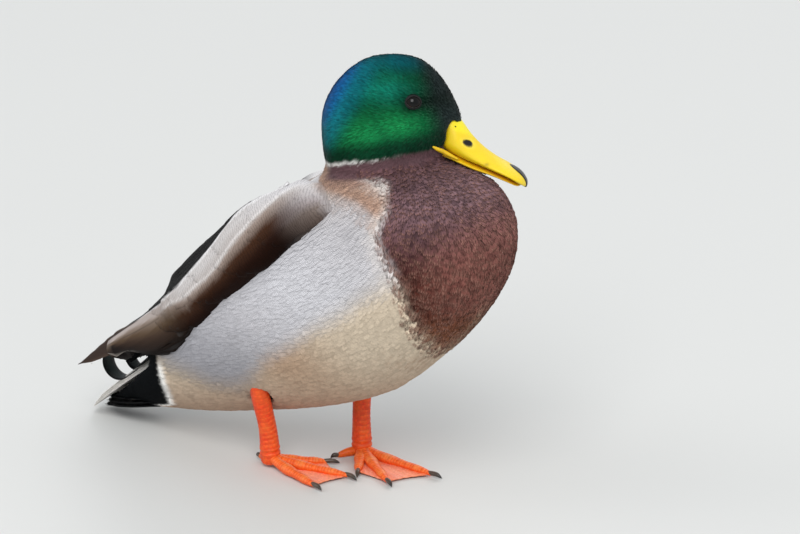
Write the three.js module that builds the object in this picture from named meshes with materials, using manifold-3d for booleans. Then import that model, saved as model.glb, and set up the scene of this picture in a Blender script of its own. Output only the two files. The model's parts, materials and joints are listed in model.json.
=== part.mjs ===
// A drake mallard standing at rest with its head turned a little to its left, life size.
// Millimetres, +X forward, +Y to the bird's left, +Z up. While it is being shaped, the floor is
// z = 0 and the origin lies midway between the ankles. The finished group is then moved so that
// its origin is the middle of the bottom of its box.
import * as THREE from 'three';
import { mergeVertices } from 'three/addons/utils/BufferGeometryUtils.js';
import Module from 'manifold-3d';

const wasm = await Module();
wasm.setup();

// ---- Driving sizes ----

const GAP = 0.3; // air between neighbouring pieces
const WELD = 1e-4; // distance within which vertices are one
const SIDES = { right: -1, left: 1 };

// Trunk sections from the tail end to the inside of the head. Each runs from a point on the back
// to a point on the belly side, both [x, z]. It has a half width, and `lean` moves the widest
// place towards the back.
const TRUNK = [
  { back: [-151.5, 22], belly: [-151.5, 21], half: 0.4, lean: 0 },
  { back: [-145, 39], belly: [-148.5, 10.5], half: 15, lean: -0.1 },
  { back: [-130, 58], belly: [-125, 10], half: 22, lean: 0 },
  { back: [-112, 83], belly: [-98, 12.5], half: 32, lean: 0.03 },
  { back: [-89, 112], belly: [-66, 18], half: 43, lean: 0.1 },
  { back: [-65, 136], belly: [-36, 25], half: 50, lean: 0.16 },
  { back: [-43, 155], belly: [-4, 33], half: 54, lean: 0.2 },
  { back: [-24, 170], belly: [30, 44], half: 58, lean: 0.16 },
  { back: [-8, 180], belly: [64, 60], half: 60, lean: 0.08 },
  { back: [2, 186], belly: [92, 84], half: 61, lean: 0 },
  { back: [8, 190], belly: [115, 109], half: 60, lean: -0.02 },
  { back: [12, 194], belly: [131, 132], half: 56, lean: -0.04 },
  { back: [14, 198], belly: [140, 154], half: 51, lean: -0.05 },
  { back: [15, 202], belly: [138, 175], half: 45, lean: -0.06 },
  { back: [14, 207], belly: [112, 193], half: 34, lean: -0.04 },
  { back: [13, 213], belly: [80, 207], half: 28, lean: 0 },
  { back: [16, 222], belly: [70, 222], half: 22, lean: 0 },
  { back: [40, 232], belly: [44, 232], half: 0.4, lean: 0 },
];
const TRUNK_MESH = [28, 32]; // sections around and along
const SKULL_MESH = [20, 16];
const BILL_MESH = [14, 14];

// The head has its own upright middle plane, turned to the bird's left about its centre.
const HEAD = { centre: [50, 5, 237], turn: 36 };
// Head sections from the nape to the forehead: [forward, up] at the top and bottom.
const SKULL = [
  { back: [-39.5, -10], belly: [-39.5, -12], half: 0.4, lean: 0 },
  { back: [-37.5, 1], belly: [-38.5, -26], half: 13, lean: 0 },
  { back: [-31.5, 13.5], belly: [-35.5, -40], half: 20.5, lean: -0.1 },
  { back: [-21, 25], belly: [-25, -46], half: 24, lean: -0.2 },
  { back: [-9, 31.8], belly: [-12, -48], half: 25, lean: -0.28 },
  { back: [5, 33.2], belly: [4, -47], half: 25, lean: -0.32 },
  { back: [18, 31.5], belly: [17, -42], half: 23.5, lean: -0.34 },
  { back: [29, 24], belly: [28, -35], half: 18.6, lean: -0.3 },
  { back: [37, 13], belly: [35, -31], half: 12.6, lean: -0.2 },
  { back: [42, 3], belly: [39.5, -27.5], half: 8.6, lean: -0.1 },
  { back: [45.3, -6], belly: [43, -22], half: 4.6, lean: 0 },
  { back: [46.5, -13], belly: [46.4, -15], half: 0.4, lean: 0 },
];
const EYE = { forward: 15.5, up: 7.5, aside: 17, radius: 5.4 };
const LID = { wide: 4.4, tall: 3.5, rim: 0.9 };

// Upper bill sections from inside the face to the tip, in the head's plane.
const UPPER_BILL = [
  { back: [29, -6], belly: [27, -22], half: 5, lean: 0 },
  { back: [36, -2], belly: [31, -25], half: 10.6, lean: -0.05 },
  { back: [43.5, -9], belly: [38, -28.6], half: 10.9, lean: -0.22 },
  { back: [51, -18], belly: [46.5, -32.6], half: 10.2, lean: -0.4 },
  { back: [58, -25.6], belly: [55, -36], half: 10, lean: -0.45 },
  { back: [66, -32], belly: [63, -39.3], half: 10.4, lean: -0.4 },
  { back: [74, -37.2], belly: [72, -43.2], half: 11.2, lean: -0.3 },
  { back: [80.5, -42], belly: [79, -47.8], half: 9.6, lean: -0.2 },
  { back: [83.8, -46.4], belly: [82.8, -50.6], half: 5, lean: -0.1 },
  { back: [84.2, -49.3], belly: [84, -50.2], half: 0.4, lean: 0 },
];
const LOWER_BILL = [
  { back: [28, -26], belly: [28, -27], half: 2, lean: 0 },
  { back: [33, -26.5], belly: [32, -29.5], half: 8, lean: 0.1 },
  { back: [42, -31], belly: [41, -35], half: 8.6, lean: 0.2 },
  { back: [52, -36], belly: [51, -40], half: 8.4, lean: 0.3 },
  { back: [62, -40], belly: [61, -43.4], half: 8.4, lean: 0.3 },
  { back: [71, -44.2], belly: [70, -46.8], half: 8.8, lean: 0.3 },
  { back: [78, -48.4], belly: [77.5, -50.4], half: 6.5, lean: 0.2 },
  { back: [81, -50.6], belly: [80.8, -51.2], half: 0.4, lean: 0 },
];
// The nail is the bill's tip beyond a leaning plane through this place in the head's plane.
const NAIL = { from: 77.5, up: -41, slope: 0.5 };
const NOSTRIL = { forward: 49, up: -19.5, aside: 9.4, long: 3.4, tall: 1.5, deep: 2.2, slope: 32 };

// The folded tail's middle line runs from inside the rump to the tip. Its vanes lie in pairs, the
// top middle pair first, each pair `rise` below the one before.
const TAIL = {
  root: [-103, 0, 52], tip: [-161.5, 0, 2], pairs: 5, rise: 1.25, vaneWidth: 14,
  halfSpread: 14, rootSpread: 14, slotLength: 77, slotWidth: 76, plugLength: 9, covertLength: 31,
};

// The two curled coverts over the tail: where each rises from the rump, and its roll.
const CURLS = {
  right: { along: 48, aside: -5, radius: 7.4, width: 8 },
  left: { along: 41, aside: 5, radius: 5.6, width: 7 },
};

const CURL_SHEET = { thick: 1, roll: 250 }; // a curl's thickness, and how far it rolls in degrees

// Rows of feathers on each side. A row's vanes start at one station of the trunk and end at
// another; theta is in degrees down from the back and lift is the height over the trunk.
const WING_PAD = { from: [11.6, 52, 14], to: [4.4, 55, 14], lifts: [0.9, 3.6] };
const TERTIALS = {
  count: 4, from: [7.6, 66, 24], to: [2.0, 71, 32], step: -0.3,
  lifts: [2.2, 4.4], stack: 0.9, width: 24, shape: 'rounded', tilt: 0.8,
};
// Each primary runs through places over the trunk, [station, theta, its step, lift, its step],
// to a tip in the air.
const PRIMARIES = {
  count: 4, spots: [[7.2, 60, 3, 2.2, 0], [4.2, 58, 4, 1.6, 0.4], [2.7, 58, 6, 2.4, 1.1]],
  tip: [-161, 22, 36], tipStep: [8, -1.4, 7.2], width: 15,
};
const SCAPULAR_PAD = { from: [12, 41, 13], to: [7.8, 44, 18], lifts: [4.2, 6.2] };
const SCAPULARS = [
  { count: 5, from: [8.4, 61, 26], to: [4.2, 63, 28], step: -0.1, lifts: [5.5, 8.4], width: 22 },
  { count: 5, from: [10.0, 59, 26], to: [6.4, 60, 25], step: -0.1, lifts: [5.3, 8.8], width: 19 },
  { count: 4, from: [11.5, 54, 30], to: [8.6, 56, 28], step: -0.1, lifts: [5.2, 8.2], width: 19 },
];

// Feet: the ankle's place on the floor, then each toe as [azimuth, length, turn of its claw].
const FEET = {
  right: {
    ankle: [-18, -22.4],
    toes: { inner: [37, 35, 0], middle: [10, 53.5, -24], outer: [-19.5, 48.5, 0] },
    hallux: [160, 11],
  },
  left: {
    ankle: [18.4, 22.4],
    toes: { inner: [-58, 31, 0], middle: [-35.5, 50.5, 0], outer: [-3.8, 56, 0] },
    hallux: [-125, 16],
  },
};
const LEG = { hock: [-3.5, 56], radii: [5.8, 5.6, 4.4, 4.6, 5.2], ankle: 6.5 };
const KNOB = { radius: 6, height: 3 }; // the ankle's joint, where the toes meet
const TOE = { radii: [4.6, 3.6, 3.9, 2.9, 3.1, 2.3], high: 6.2, low: 2.2, flat: 0.85 };
const HALLUX = { radii: [3.2, 2.8, 1.8], tip: 2.6 };
const CLAW = { length: 7.5, radius: 1.9, hallux: 4 };
const WEB = { thick: 1.3, reach: 0.93, scallop: 0.8 };

// Planes that part the trunk: a point [x, z] and the way [x, z] that the plane faces.
const COLLAR_PLANE = { point: [12, 197], normal: [-0.258, 0.966] };
const NECK_PLANE = { point: [6, 188], normal: [-0.11, 0.994] };
const RUMP_PLANE = { point: [-96, 95], normal: [0.98, 0.19] };

// ---- Solids ----

const at = (list) => new THREE.Vector3(...list);
const radians = THREE.MathUtils.degToRad;
const mix = THREE.MathUtils.lerp;

// A closed geometry as a manifold solid, turned outwards if its triangles face in.
function solidOf(geometry) {
  const bare = geometry.clone();
  bare.deleteAttribute('normal');
  bare.deleteAttribute('uv');
  const merged = mergeVertices(bare, WELD);
  const triVerts = Uint32Array.from(merged.index.array);
  const make = () => new wasm.Manifold(new wasm.Mesh({
    numProp: 3,
    vertProperties: Float32Array.from(merged.attributes.position.array),
    triVerts,
  }));
  const solid = make();
  if (solid.volume() > 0) return solid;
  for (let i = 0; i < triVerts.length; i += 3) {
    [triVerts[i + 1], triVerts[i + 2]] = [triVerts[i + 2], triVerts[i + 1]];
  }
  return make();
}

const joined = (solids) => solids.reduce((all, solid) => all.add(solid));
const largest = (solid) => solid.decompose().sort((a, b) => b.volume() - a.volume())[0];

function geometryOf(solid) {
  const { vertProperties, triVerts, numProp } = largest(solid).getMesh();
  const points = new Float32Array((vertProperties.length / numProp) * 3);
  for (let i = 0; i < points.length / 3; i += 1) {
    for (let k = 0; k < 3; k += 1) points[3 * i + k] = vertProperties[numProp * i + k];
  }
  const geometry = new THREE.BufferGeometry();
  geometry.setAttribute('position', new THREE.BufferAttribute(points, 3));
  geometry.setIndex(new THREE.BufferAttribute(Uint32Array.from(triVerts), 1));
  geometry.computeVertexNormals();
  return geometry;
}

// ---- Forms ----

// A form is a smooth body made of sections across an upright middle plane. It gives the point of
// its surface at a place s along it, from 0 to 1, and an angle theta from the back to the left.
function formOf(sections, { centre = [0, 0, 0], turn = 0 } = {}) {
  const origin = at(centre);
  const up = new THREE.Vector3(0, 0, 1);
  const forward = new THREE.Vector3(1, 0, 0).applyAxisAngle(up, radians(turn));
  const left = up.clone().cross(forward);
  const back = new THREE.SplineCurve(sections.map(({ back: p }) => new THREE.Vector2(...p)));
  const belly = new THREE.SplineCurve(sections.map(({ belly: p }) => new THREE.Vector2(...p)));
  const width = new THREE.SplineCurve(sections.map((p) => new THREE.Vector2(p.half, p.lean)));
  const place = (ahead, aside, above) => origin.clone()
    .addScaledVector(forward, ahead)
    .addScaledVector(left, aside)
    .addScaledVector(up, above);
  const point = (s, theta) => {
    const t = THREE.MathUtils.clamp(s, 0, 1);
    const [top, bottom, wide] = [back.getPoint(t), belly.getPoint(t), width.getPoint(t)];
    const middle = top.clone().add(bottom).multiplyScalar(0.5);
    const arm = top.sub(bottom).multiplyScalar(0.5);
    const aside = wide.x * Math.sin(theta) * (1 + wide.y * Math.cos(theta));
    return place(middle.x + arm.x * Math.cos(theta), aside, middle.y + arm.y * Math.cos(theta));
  };
  const slopes = (s, theta) => {
    const e = 1e-3;
    const along = point(s + e, theta).sub(point(s - e, theta)).divideScalar(2 * e);
    const round = point(s, theta + e).sub(point(s, theta - e)).divideScalar(2 * e);
    return { along, round, normal: along.clone().cross(round).normalize() };
  };
  const above = (s, theta, lift) => point(s, theta).addScaledVector(slopes(s, theta).normal, lift);
  return { point, slopes, above, place, directions: { forward, left, up } };
}

// The whole surface of a form as a closed solid, with its ends drawn to a point.
function formSolid(form, [around, along], lift = 0) {
  const sphere = new THREE.SphereGeometry(1, around, along);
  const { position, uv } = sphere.attributes;
  for (let i = 0; i < position.count; i += 1) {
    const s = 1 - uv.getY(i);
    const atEnd = s < WELD || s > 1 - WELD;
    const theta = atEnd ? 0 : uv.getX(i) * 2 * Math.PI;
    const point = lift && !atEnd ? form.above(s, theta, lift) : form.point(s, theta);
    position.setXYZ(i, ...point);
  }
  return solidOf(sphere);
}

// A rounded limb along a curve, with a radius at each of its points. Its ends close more
// bluntly as `blunt` grows, and `flat` presses its section along the world's Z.
function limb(points, radii, { around = 10, along = 12, blunt = 3, flat = 1 } = {}) {
  const curve = new THREE.CatmullRomCurve3(points.map(at));
  const size = new THREE.SplineCurve(radii.map((r, i) => new THREE.Vector2(i, r)));
  const { normals, binormals } = curve.computeFrenetFrames(along);
  const sphere = new THREE.SphereGeometry(1, around, along);
  const { position, uv } = sphere.attributes;
  for (let i = 0; i < position.count; i += 1) {
    const row = Math.round((1 - uv.getY(i)) * along);
    const f = row / along;
    const radius = size.getPoint(f).y * Math.sin(Math.PI * f) ** (1 / blunt);
    const turn = uv.getX(i) * 2 * Math.PI;
    const out = new THREE.Vector3()
      .addScaledVector(normals[row], radius * Math.cos(turn))
      .addScaledVector(binormals[row], radius * Math.sin(turn));
    out.z *= flat;
    if (row === 0 || row === along) out.set(0, 0, 0);
    position.setXYZ(i, ...curve.getPoint(f).add(out));
  }
  return solidOf(sphere);
}

// A thin plate over a grid: `surface(f, g)` gives the middle point and the way up at f along it
// and g across it, from -1 to 1. Both faces are split into triangles alike.
function plate(surface, thickness, along = 5, across = 1) {
  const points = [];
  const faces = [];
  const row = across + 1;
  for (const face of [1, -1]) {
    for (let i = 0; i <= along; i += 1) {
      for (let j = 0; j <= across; j += 1) {
        const f = i / along;
        const { middle, way } = surface(f, (2 * j) / across - 1);
        points.push(...middle.clone().addScaledVector(way, (face * thickness(f)) / 2));
      }
    }
  }
  const under = (along + 1) * row;
  const quad = (a, b, c, d) => faces.push(a, b, c, a, c, d);
  for (let i = 0; i < along; i += 1) {
    for (let j = 0; j < across; j += 1) {
      const a = i * row + j;
      faces.push(a, a + 1, a + 1 + row, a, a + 1 + row, a + row);
      faces.push(under + a, under + a + 1 + row, under + a + 1);
      faces.push(under + a, under + a + row, under + a + 1 + row);
    }
    const [first, last] = [i * row, i * row + across];
    quad(first, first + row, under + first + row, under + first);
    quad(last + row, last, under + last, under + last + row);
  }
  for (let j = 0; j < across; j += 1) {
    const end = along * row + j;
    quad(j + 1, j, under + j, under + j + 1);
    quad(end, end + 1, under + end + 1, under + end);
  }
  const geometry = new THREE.BufferGeometry();
  geometry.setAttribute('position', new THREE.Float32BufferAttribute(points, 3));
  geometry.setIndex(faces);
  return solidOf(geometry);
}

// ---- Feathers ----

// How wide a vane is at f along it, as a share of its full width.
const VANE_SHAPES = {
  pointed: (f) => Math.min(0.62 + 0.9 * f, 1) * (1 - Math.max(0, f - 0.45) ** 1.6 * 2.35),
  rounded: (f) => Math.min(0.6 + 0.9 * f, 1) * (1 - Math.max(0, f - 0.62) ** 2 * 4.8),
  blade: (f) => Math.min(0.7 + 0.6 * f, 1) * (1 - Math.max(0, f - 0.7) ** 1.8 * 6),
};
const VANE_THICK = { root: 1, tip: 0.6 };
const vaneThickness = (f) => mix(VANE_THICK.root, VANE_THICK.tip, f);

// A vane that lies on a form, from its root to its tip, both { s, theta in degrees, lift }.
// `tilt` raises one long edge over the next vane and drops the other.
function vaneOnForm(form, side, { root, tip, width, shape, tilt, bow = 0 }, along = 5) {
  const surface = (f, g) => {
    const s = mix(root.s, tip.s, f);
    const degrees = mix(root.theta, tip.theta, f) + bow * Math.sin(Math.PI * f);
    const theta = side * radians(degrees);
    const { along: run, round, normal } = form.slopes(s, theta);
    const path = run.clone().multiplyScalar(tip.s - root.s)
      .addScaledVector(round, side * radians(tip.theta - root.theta));
    const across = normal.clone().cross(path).normalize().multiplyScalar(-side);
    const reach = (g * width * VANE_SHAPES[shape](f)) / 2;
    const [rr, ro, oo] = [run.dot(run), run.dot(round), round.dot(round)];
    const [ra, oa] = [run.dot(across), round.dot(across)];
    const det = rr * oo - ro * ro;
    const stepS = ((oo * ra - ro * oa) / det) * reach;
    const stepTheta = ((rr * oa - ro * ra) / det) * reach;
    const lift = mix(root.lift, tip.lift, f) + g * tilt;
    const edge = [s + stepS, theta + stepTheta];
    return { middle: form.above(...edge, lift), way: form.slopes(...edge).normal };
  };
  return plate(surface, vaneThickness, along);
}

// A vane through free air: its middle line runs through points, and it faces `ways` there.
function vaneInAir(points, ways, { width, shape, tilt = 0 }, along = 5) {
  const line = new THREE.CatmullRomCurve3(points);
  const facing = new THREE.CatmullRomCurve3(ways);
  const surface = (f, g) => {
    const way = facing.getPoint(f).normalize();
    const across = line.getTangent(f).cross(way).normalize();
    const reach = (g * width * VANE_SHAPES[shape](f)) / 2;
    const middle = line.getPoint(f).addScaledVector(across, reach).addScaledVector(way, g * tilt);
    return { middle, way };
  };
  return plate(surface, vaneThickness, along);
}

// ---- Trunk, neck and head ----

const trunk = formOf(TRUNK);
const skull = formOf(SKULL, HEAD);

const body = formSolid(trunk, TRUNK_MESH).add(formSolid(skull, SKULL_MESH));

// The part of a solid on the side that a plane faces, set back from it by half the gap.
function beyond(solid, { point, normal }, way = 1) {
  const facing = new THREE.Vector3(normal[0], 0, normal[1]).normalize().multiplyScalar(way);
  const distance = facing.dot(new THREE.Vector3(point[0], 0, point[1])) + GAP / 2;
  return solid.trimByPlane([...facing], distance);
}

const upperForm = formOf(UPPER_BILL, HEAD);
const lowerForm = formOf(LOWER_BILL, HEAD);
const upperBill = formSolid(upperForm, BILL_MESH);
const lowerBill = formSolid(lowerForm, BILL_MESH);
const lowerRoom = formSolid(lowerForm, BILL_MESH, GAP);
const billRoom = formSolid(upperForm, BILL_MESH, GAP).add(lowerRoom);

const nodes = [];
const node = (name, solid, colour, roughness = 0.8, metalness = 0) => {
  const material = new THREE.MeshStandardMaterial({ color: colour, roughness, metalness });
  const mesh = new THREE.Mesh(geometryOf(solid), material);
  mesh.name = name;
  nodes.push(mesh);
};

// The place { s, theta } of a form's surface that is nearest to a point.
function placeNear(form, target) {
  let best = { s: 0.5, theta: 0, distance: Infinity };
  for (let reach = 0.5, turn = Math.PI; reach > 1e-3; reach /= 4, turn /= 4) {
    const { s: s0, theta: theta0 } = best;
    for (let i = -8; i <= 8; i += 1) {
      for (let j = -8; j <= 8; j += 1) {
        const [s, theta] = [s0 + (i / 8) * reach, theta0 + (j / 8) * turn];
        const distance = form.point(s, theta).distanceTo(target);
        if (distance < best.distance) best = { s, theta, distance };
      }
    }
  }
  return best;
}

// A geometry turned so that its +Z faces `way` and its +X lies along `run`, and moved to `spot`.
function settled(geometry, spot, way, run) {
  const x = run.clone().addScaledVector(way, -run.dot(way)).normalize();
  const y = way.clone().cross(x);
  const turned = new THREE.Matrix4().makeBasis(x, y, way).setPosition(spot);
  return solidOf(geometry.applyMatrix4(turned));
}

// ---- Head, eyes and bill ----

const { forward: ahead, up: upward, left: leftward } = skull.directions;
const floorBox = new THREE.BoxGeometry(600, 400, 100).translate(0, 0, -50);
const floorCut = solidOf(floorBox);
const trunkRoom = formSolid(trunk, TRUNK_MESH, GAP);

let head = beyond(body, COLLAR_PLANE).subtract(billRoom);
for (const [side, sign] of Object.entries(SIDES)) {
  const spot = skull.place(EYE.forward, sign * EYE.aside, EYE.up);
  const { s, theta } = placeNear(skull, spot);
  const { normal } = skull.slopes(s, theta);
  const surface = skull.point(s, theta);
  const sink = Math.sqrt(EYE.radius ** 2 - LID.wide ** 2);
  const centre = surface.clone().addScaledVector(normal, -sink);
  const ball = (radius) => (
    settled(new THREE.SphereGeometry(radius, 12, 9), centre, normal, ahead));
  const rim = new THREE.TorusGeometry(LID.wide, LID.rim, 5, 14).scale(1, LID.tall / LID.wide, 1.3);
  head = head.add(settled(rim, surface, normal, ahead)).subtract(ball(EYE.radius + GAP));
  node(`eye_${side}`, ball(EYE.radius), '#120c08', 0.08);
}
node('head', head, '#0f5a35', 0.5);

let horn = upperBill.subtract(lowerRoom);
for (const sign of Object.values(SIDES)) {
  const slope = radians(NOSTRIL.slope);
  const run = ahead.clone().multiplyScalar(Math.cos(slope)).addScaledVector(upward, -Math.sin(slope));
  const spot = skull.place(NOSTRIL.forward, sign * NOSTRIL.aside, NOSTRIL.up);
  const hole = new THREE.SphereGeometry(1, 10, 6).scale(NOSTRIL.long, NOSTRIL.tall, NOSTRIL.deep);
  horn = horn.subtract(settled(hole, spot, leftward.clone().multiplyScalar(sign), run));
}
const nailWay = ahead.clone().addScaledVector(upward, -NAIL.slope).normalize();
const nailFace = nailWay.dot(skull.place(NAIL.from, 0, NAIL.up));
const behindNail = nailWay.clone().negate();
node('bill_upper', horn.trimByPlane([...behindNail], GAP / 2 - nailFace), '#d9b92c', 0.45);
node('bill_nail', horn.trimByPlane([...nailWay], nailFace + GAP / 2), '#1c1a17', 0.4);
node('bill_lower', lowerBill, '#d09a2a', 0.45);

// ---- Neck, torso, rump and tail ----

const collar = beyond(beyond(body, COLLAR_PLANE, -1), NECK_PLANE);
const trunkBelow = beyond(body, NECK_PLANE, -1);
node('neck', collar.subtract(billRoom), '#f2efe8');
node('torso', beyond(trunkBelow, RUMP_PLANE).subtract(billRoom), '#8f8a83');

const tailRun = at(TAIL.tip).sub(at(TAIL.root)).normalize();
const tailWay = tailRun.clone().cross(new THREE.Vector3(0, -1, 0)).normalize();
const tailHigh = (TAIL.pairs + 1.5) * TAIL.rise + 1;

function tailFeather(rank, sign) {
  const share = (rank + 0.5) / TAIL.pairs;
  const height = (TAIL.pairs - rank) * TAIL.rise + (sign > 0 ? TAIL.rise / 2 : 0);
  const lifted = (point, spread) => at(point)
    .add(new THREE.Vector3(0, sign * spread * share, 0))
    .addScaledVector(tailWay, height);
  const root = lifted(TAIL.root, TAIL.rootSpread);
  const tip = lifted(TAIL.tip, TAIL.halfSpread).addScaledVector(tailRun, -3 * share ** 2);
  const middle = root.clone().lerp(tip, 0.55).addScaledVector(tailWay, 0.6);
  const ways = [tailWay, tailWay, tailWay];
  return vaneInAir([root, middle, tip], ways, { width: TAIL.vaneWidth, shape: 'rounded' }, 4);
}

function tailBlock(length, width, high, start = 0) {
  const centre = at(TAIL.root)
    .addScaledVector(tailRun, start + length / 2)
    .addScaledVector(tailWay, tailHigh / 2 - 0.5);
  return settled(new THREE.BoxGeometry(length, width, high), centre, tailWay, tailRun);
}

const slot = tailBlock(TAIL.slotLength + 2 * GAP, TAIL.slotWidth, tailHigh + 2 * GAP, -GAP);
const plug = tailBlock(TAIL.plugLength, 2 * TAIL.rootSpread + TAIL.vaneWidth - 8, tailHigh - 1);
const tailRoom = tailBlock(TAIL.slotLength, TAIL.slotWidth, tailHigh);
const rectrices = [];
for (let rank = 0; rank < TAIL.pairs; rank += 1) {
  for (const sign of Object.values(SIDES)) rectrices.push(tailFeather(rank, sign));
}
const aboveTail = at(TAIL.root)
  .addScaledVector(tailRun, TAIL.covertLength + TAIL.slotLength / 2)
  .addScaledVector(tailWay, TAIL.slotLength / 2);
const coverEnd = settled(
  new THREE.BoxGeometry(TAIL.slotLength, TAIL.slotWidth, TAIL.slotLength), aboveTail, tailWay, tailRun);
const rump = beyond(trunkBelow, RUMP_PLANE, -1).subtract(slot).subtract(coverEnd);
node('rump', rump, '#17191a');
node('tail', joined([plug, ...rectrices]).intersect(tailRoom), '#e9e6df');

// A covert that leaves the end of the upper coverts, runs back, and rolls up and forward.
function curl({ along, aside, radius, width }) {
  const place = (run, rise) => at(TAIL.root)
    .addScaledVector(tailRun, run)
    .addScaledVector(tailWay, rise)
    .add(new THREE.Vector3(0, aside, 0));
  const floor = tailHigh + CURL_SHEET.thick;
  const points = [place(TAIL.covertLength + 2 * GAP, floor + 1)];
  for (let turn = 0; turn <= CURL_SHEET.roll; turn += CURL_SHEET.roll / 6) {
    const size = radius * (1 - (0.2 * turn) / CURL_SHEET.roll);
    const [run, rise] = [Math.sin(radians(turn)) * size, radius - Math.cos(radians(turn)) * size];
    points.push(place(along + run, floor + rise));
  }
  const line = new THREE.CatmullRomCurve3(points);
  const surface = (f, g) => {
    const half = (width / 2) * (1 - 0.6 * f * f);
    const middle = line.getPointAt(f).add(new THREE.Vector3(0, g * half, 0));
    return { middle, way: line.getTangentAt(f).cross(new THREE.Vector3(0, 1, 0)).normalize() };
  };
  return plate(surface, () => CURL_SHEET.thick, 12);
}

// ---- Wings and scapulars ----

const share = (station) => station / (TRUNK.length - 1);

// A pad over the trunk: `from` and `to` are [station, theta, spread].
function pad(sign, { from, to, lifts: [low, high] }) {
  const surface = (f, g) => {
    const theta = mix(from[1], to[1], f) + g * mix(from[2], to[2], f) * (1 - 0.6 * (1 - f) ** 4);
    const spot = [share(mix(from[0], to[0], f)), sign * radians(theta)];
    return { middle: trunk.above(...spot, (low + high) / 2), way: trunk.slopes(...spot).normal };
  };
  return plate(surface, () => high - low, 6, 3);
}

// A row of vanes. `from` and `to` are [station, lowest theta, highest theta].
function vaneRow(sign, row) {
  const { count, from, to, step, lifts, stack = 0, width, shape = 'pointed', tilt = 0.7 } = row;
  return Array.from({ length: count }, (_, i) => {
    const f = i / (count - 1);
    return vaneOnForm(trunk, sign, {
      root: { s: share(from[0]), theta: mix(from[1], from[2], f), lift: lifts[0] + 0.15 * i },
      tip: {
        s: share(to[0] + step * i), theta: mix(to[1], to[2], f), lift: lifts[1] + stack * i,
      },
      width, shape, tilt,
    }, 4);
  });
}

// Primaries run from under the tertials over the rump into the air, the outermost the longest.
function primaries(sign) {
  const { count, spots: places, tip, tipStep, width } = PRIMARIES;
  return Array.from({ length: count }, (_, i) => {
    const spots = places.map(([station, theta, drop, lift, rise]) => (
      [station, theta - drop * i, lift + rise * i]));
    const line = spots.map(([station, theta, lift]) => (
      trunk.above(share(station), sign * radians(theta), lift)));
    const ways = spots.map(([station, theta]) => (
      trunk.slopes(share(station), sign * radians(theta)).normal));
    line.push(new THREE.Vector3(
      tip[0] + tipStep[0] * i, sign * (tip[1] + tipStep[1] * i), tip[2] + tipStep[2] * i));
    ways.push(ways[2]);
    return vaneInAir(line, ways, { width, shape: 'blade' }, 6);
  });
}

for (const [side, sign] of Object.entries(SIDES)) {
  const wing = joined([pad(sign, WING_PAD), ...primaries(sign), ...vaneRow(sign, TERTIALS)]);
  const rows = SCAPULARS.flatMap((row) => vaneRow(sign, row));
  node(`wing_${side}`, wing.subtract(trunkRoom), '#6b5f55');
  node(`scapulars_${side}`, joined([pad(sign, SCAPULAR_PAD), ...rows]), '#b9b0a3');
  node(`curl_${side}`, curl(CURLS[side]), '#0d1112');
}

// ---- Legs and feet ----

const onFloor = (solid) => solid.subtract(floorCut);
const compass = (degrees) => new THREE.Vector3(1, 0, 0).applyAxisAngle(upward, radians(degrees));

function toePoints([x, y], [azimuth, length]) {
  const run = compass(azimuth);
  const heights = [TOE.high, 4.4, 3.3, 2.9, 2.6, TOE.low];
  return heights.map((z, i) => (
    run.clone().multiplyScalar((i / (heights.length - 1)) * length).add(at([x, y, z])).toArray()));
}

function clawSolid(tip, azimuth, length) {
  const run = compass(azimuth);
  const points = [[-0.5, 0.3], [0.35, 0.7], [0.75, 0], [1, -0.9]].map(([along, rise]) => (
    tip.clone().addScaledVector(run, along * length).add(new THREE.Vector3(0, 0, rise)).toArray()));
  const radii = [1.1, 1, 0.65, 0.3].map((share) => share * CLAW.radius);
  return (grow) => limb(points, radii.map((radius) => radius + grow), { around: 6, along: 4 });
}

// The web between two toes: a thin sheet whose front edge is scooped between their tips.
function webSolid([x, y], near, far) {
  const corner = ([azimuth, length]) => compass(azimuth).multiplyScalar(length * WEB.reach);
  const [a, b] = [corner(near), corner(far)];
  const scoop = a.clone().add(b).multiplyScalar(WEB.scallop / 2);
  const outline = new THREE.Shape().moveTo(0, 0).lineTo(a.x, a.y);
  outline.quadraticCurveTo(scoop.x, scoop.y, b.x, b.y).lineTo(0, 0);
  const sheet = new THREE.ExtrudeGeometry(outline, {
    depth: WEB.thick + 1, bevelEnabled: false, curveSegments: 5,
  });
  return solidOf(sheet.translate(x, y, -1));
}

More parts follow.
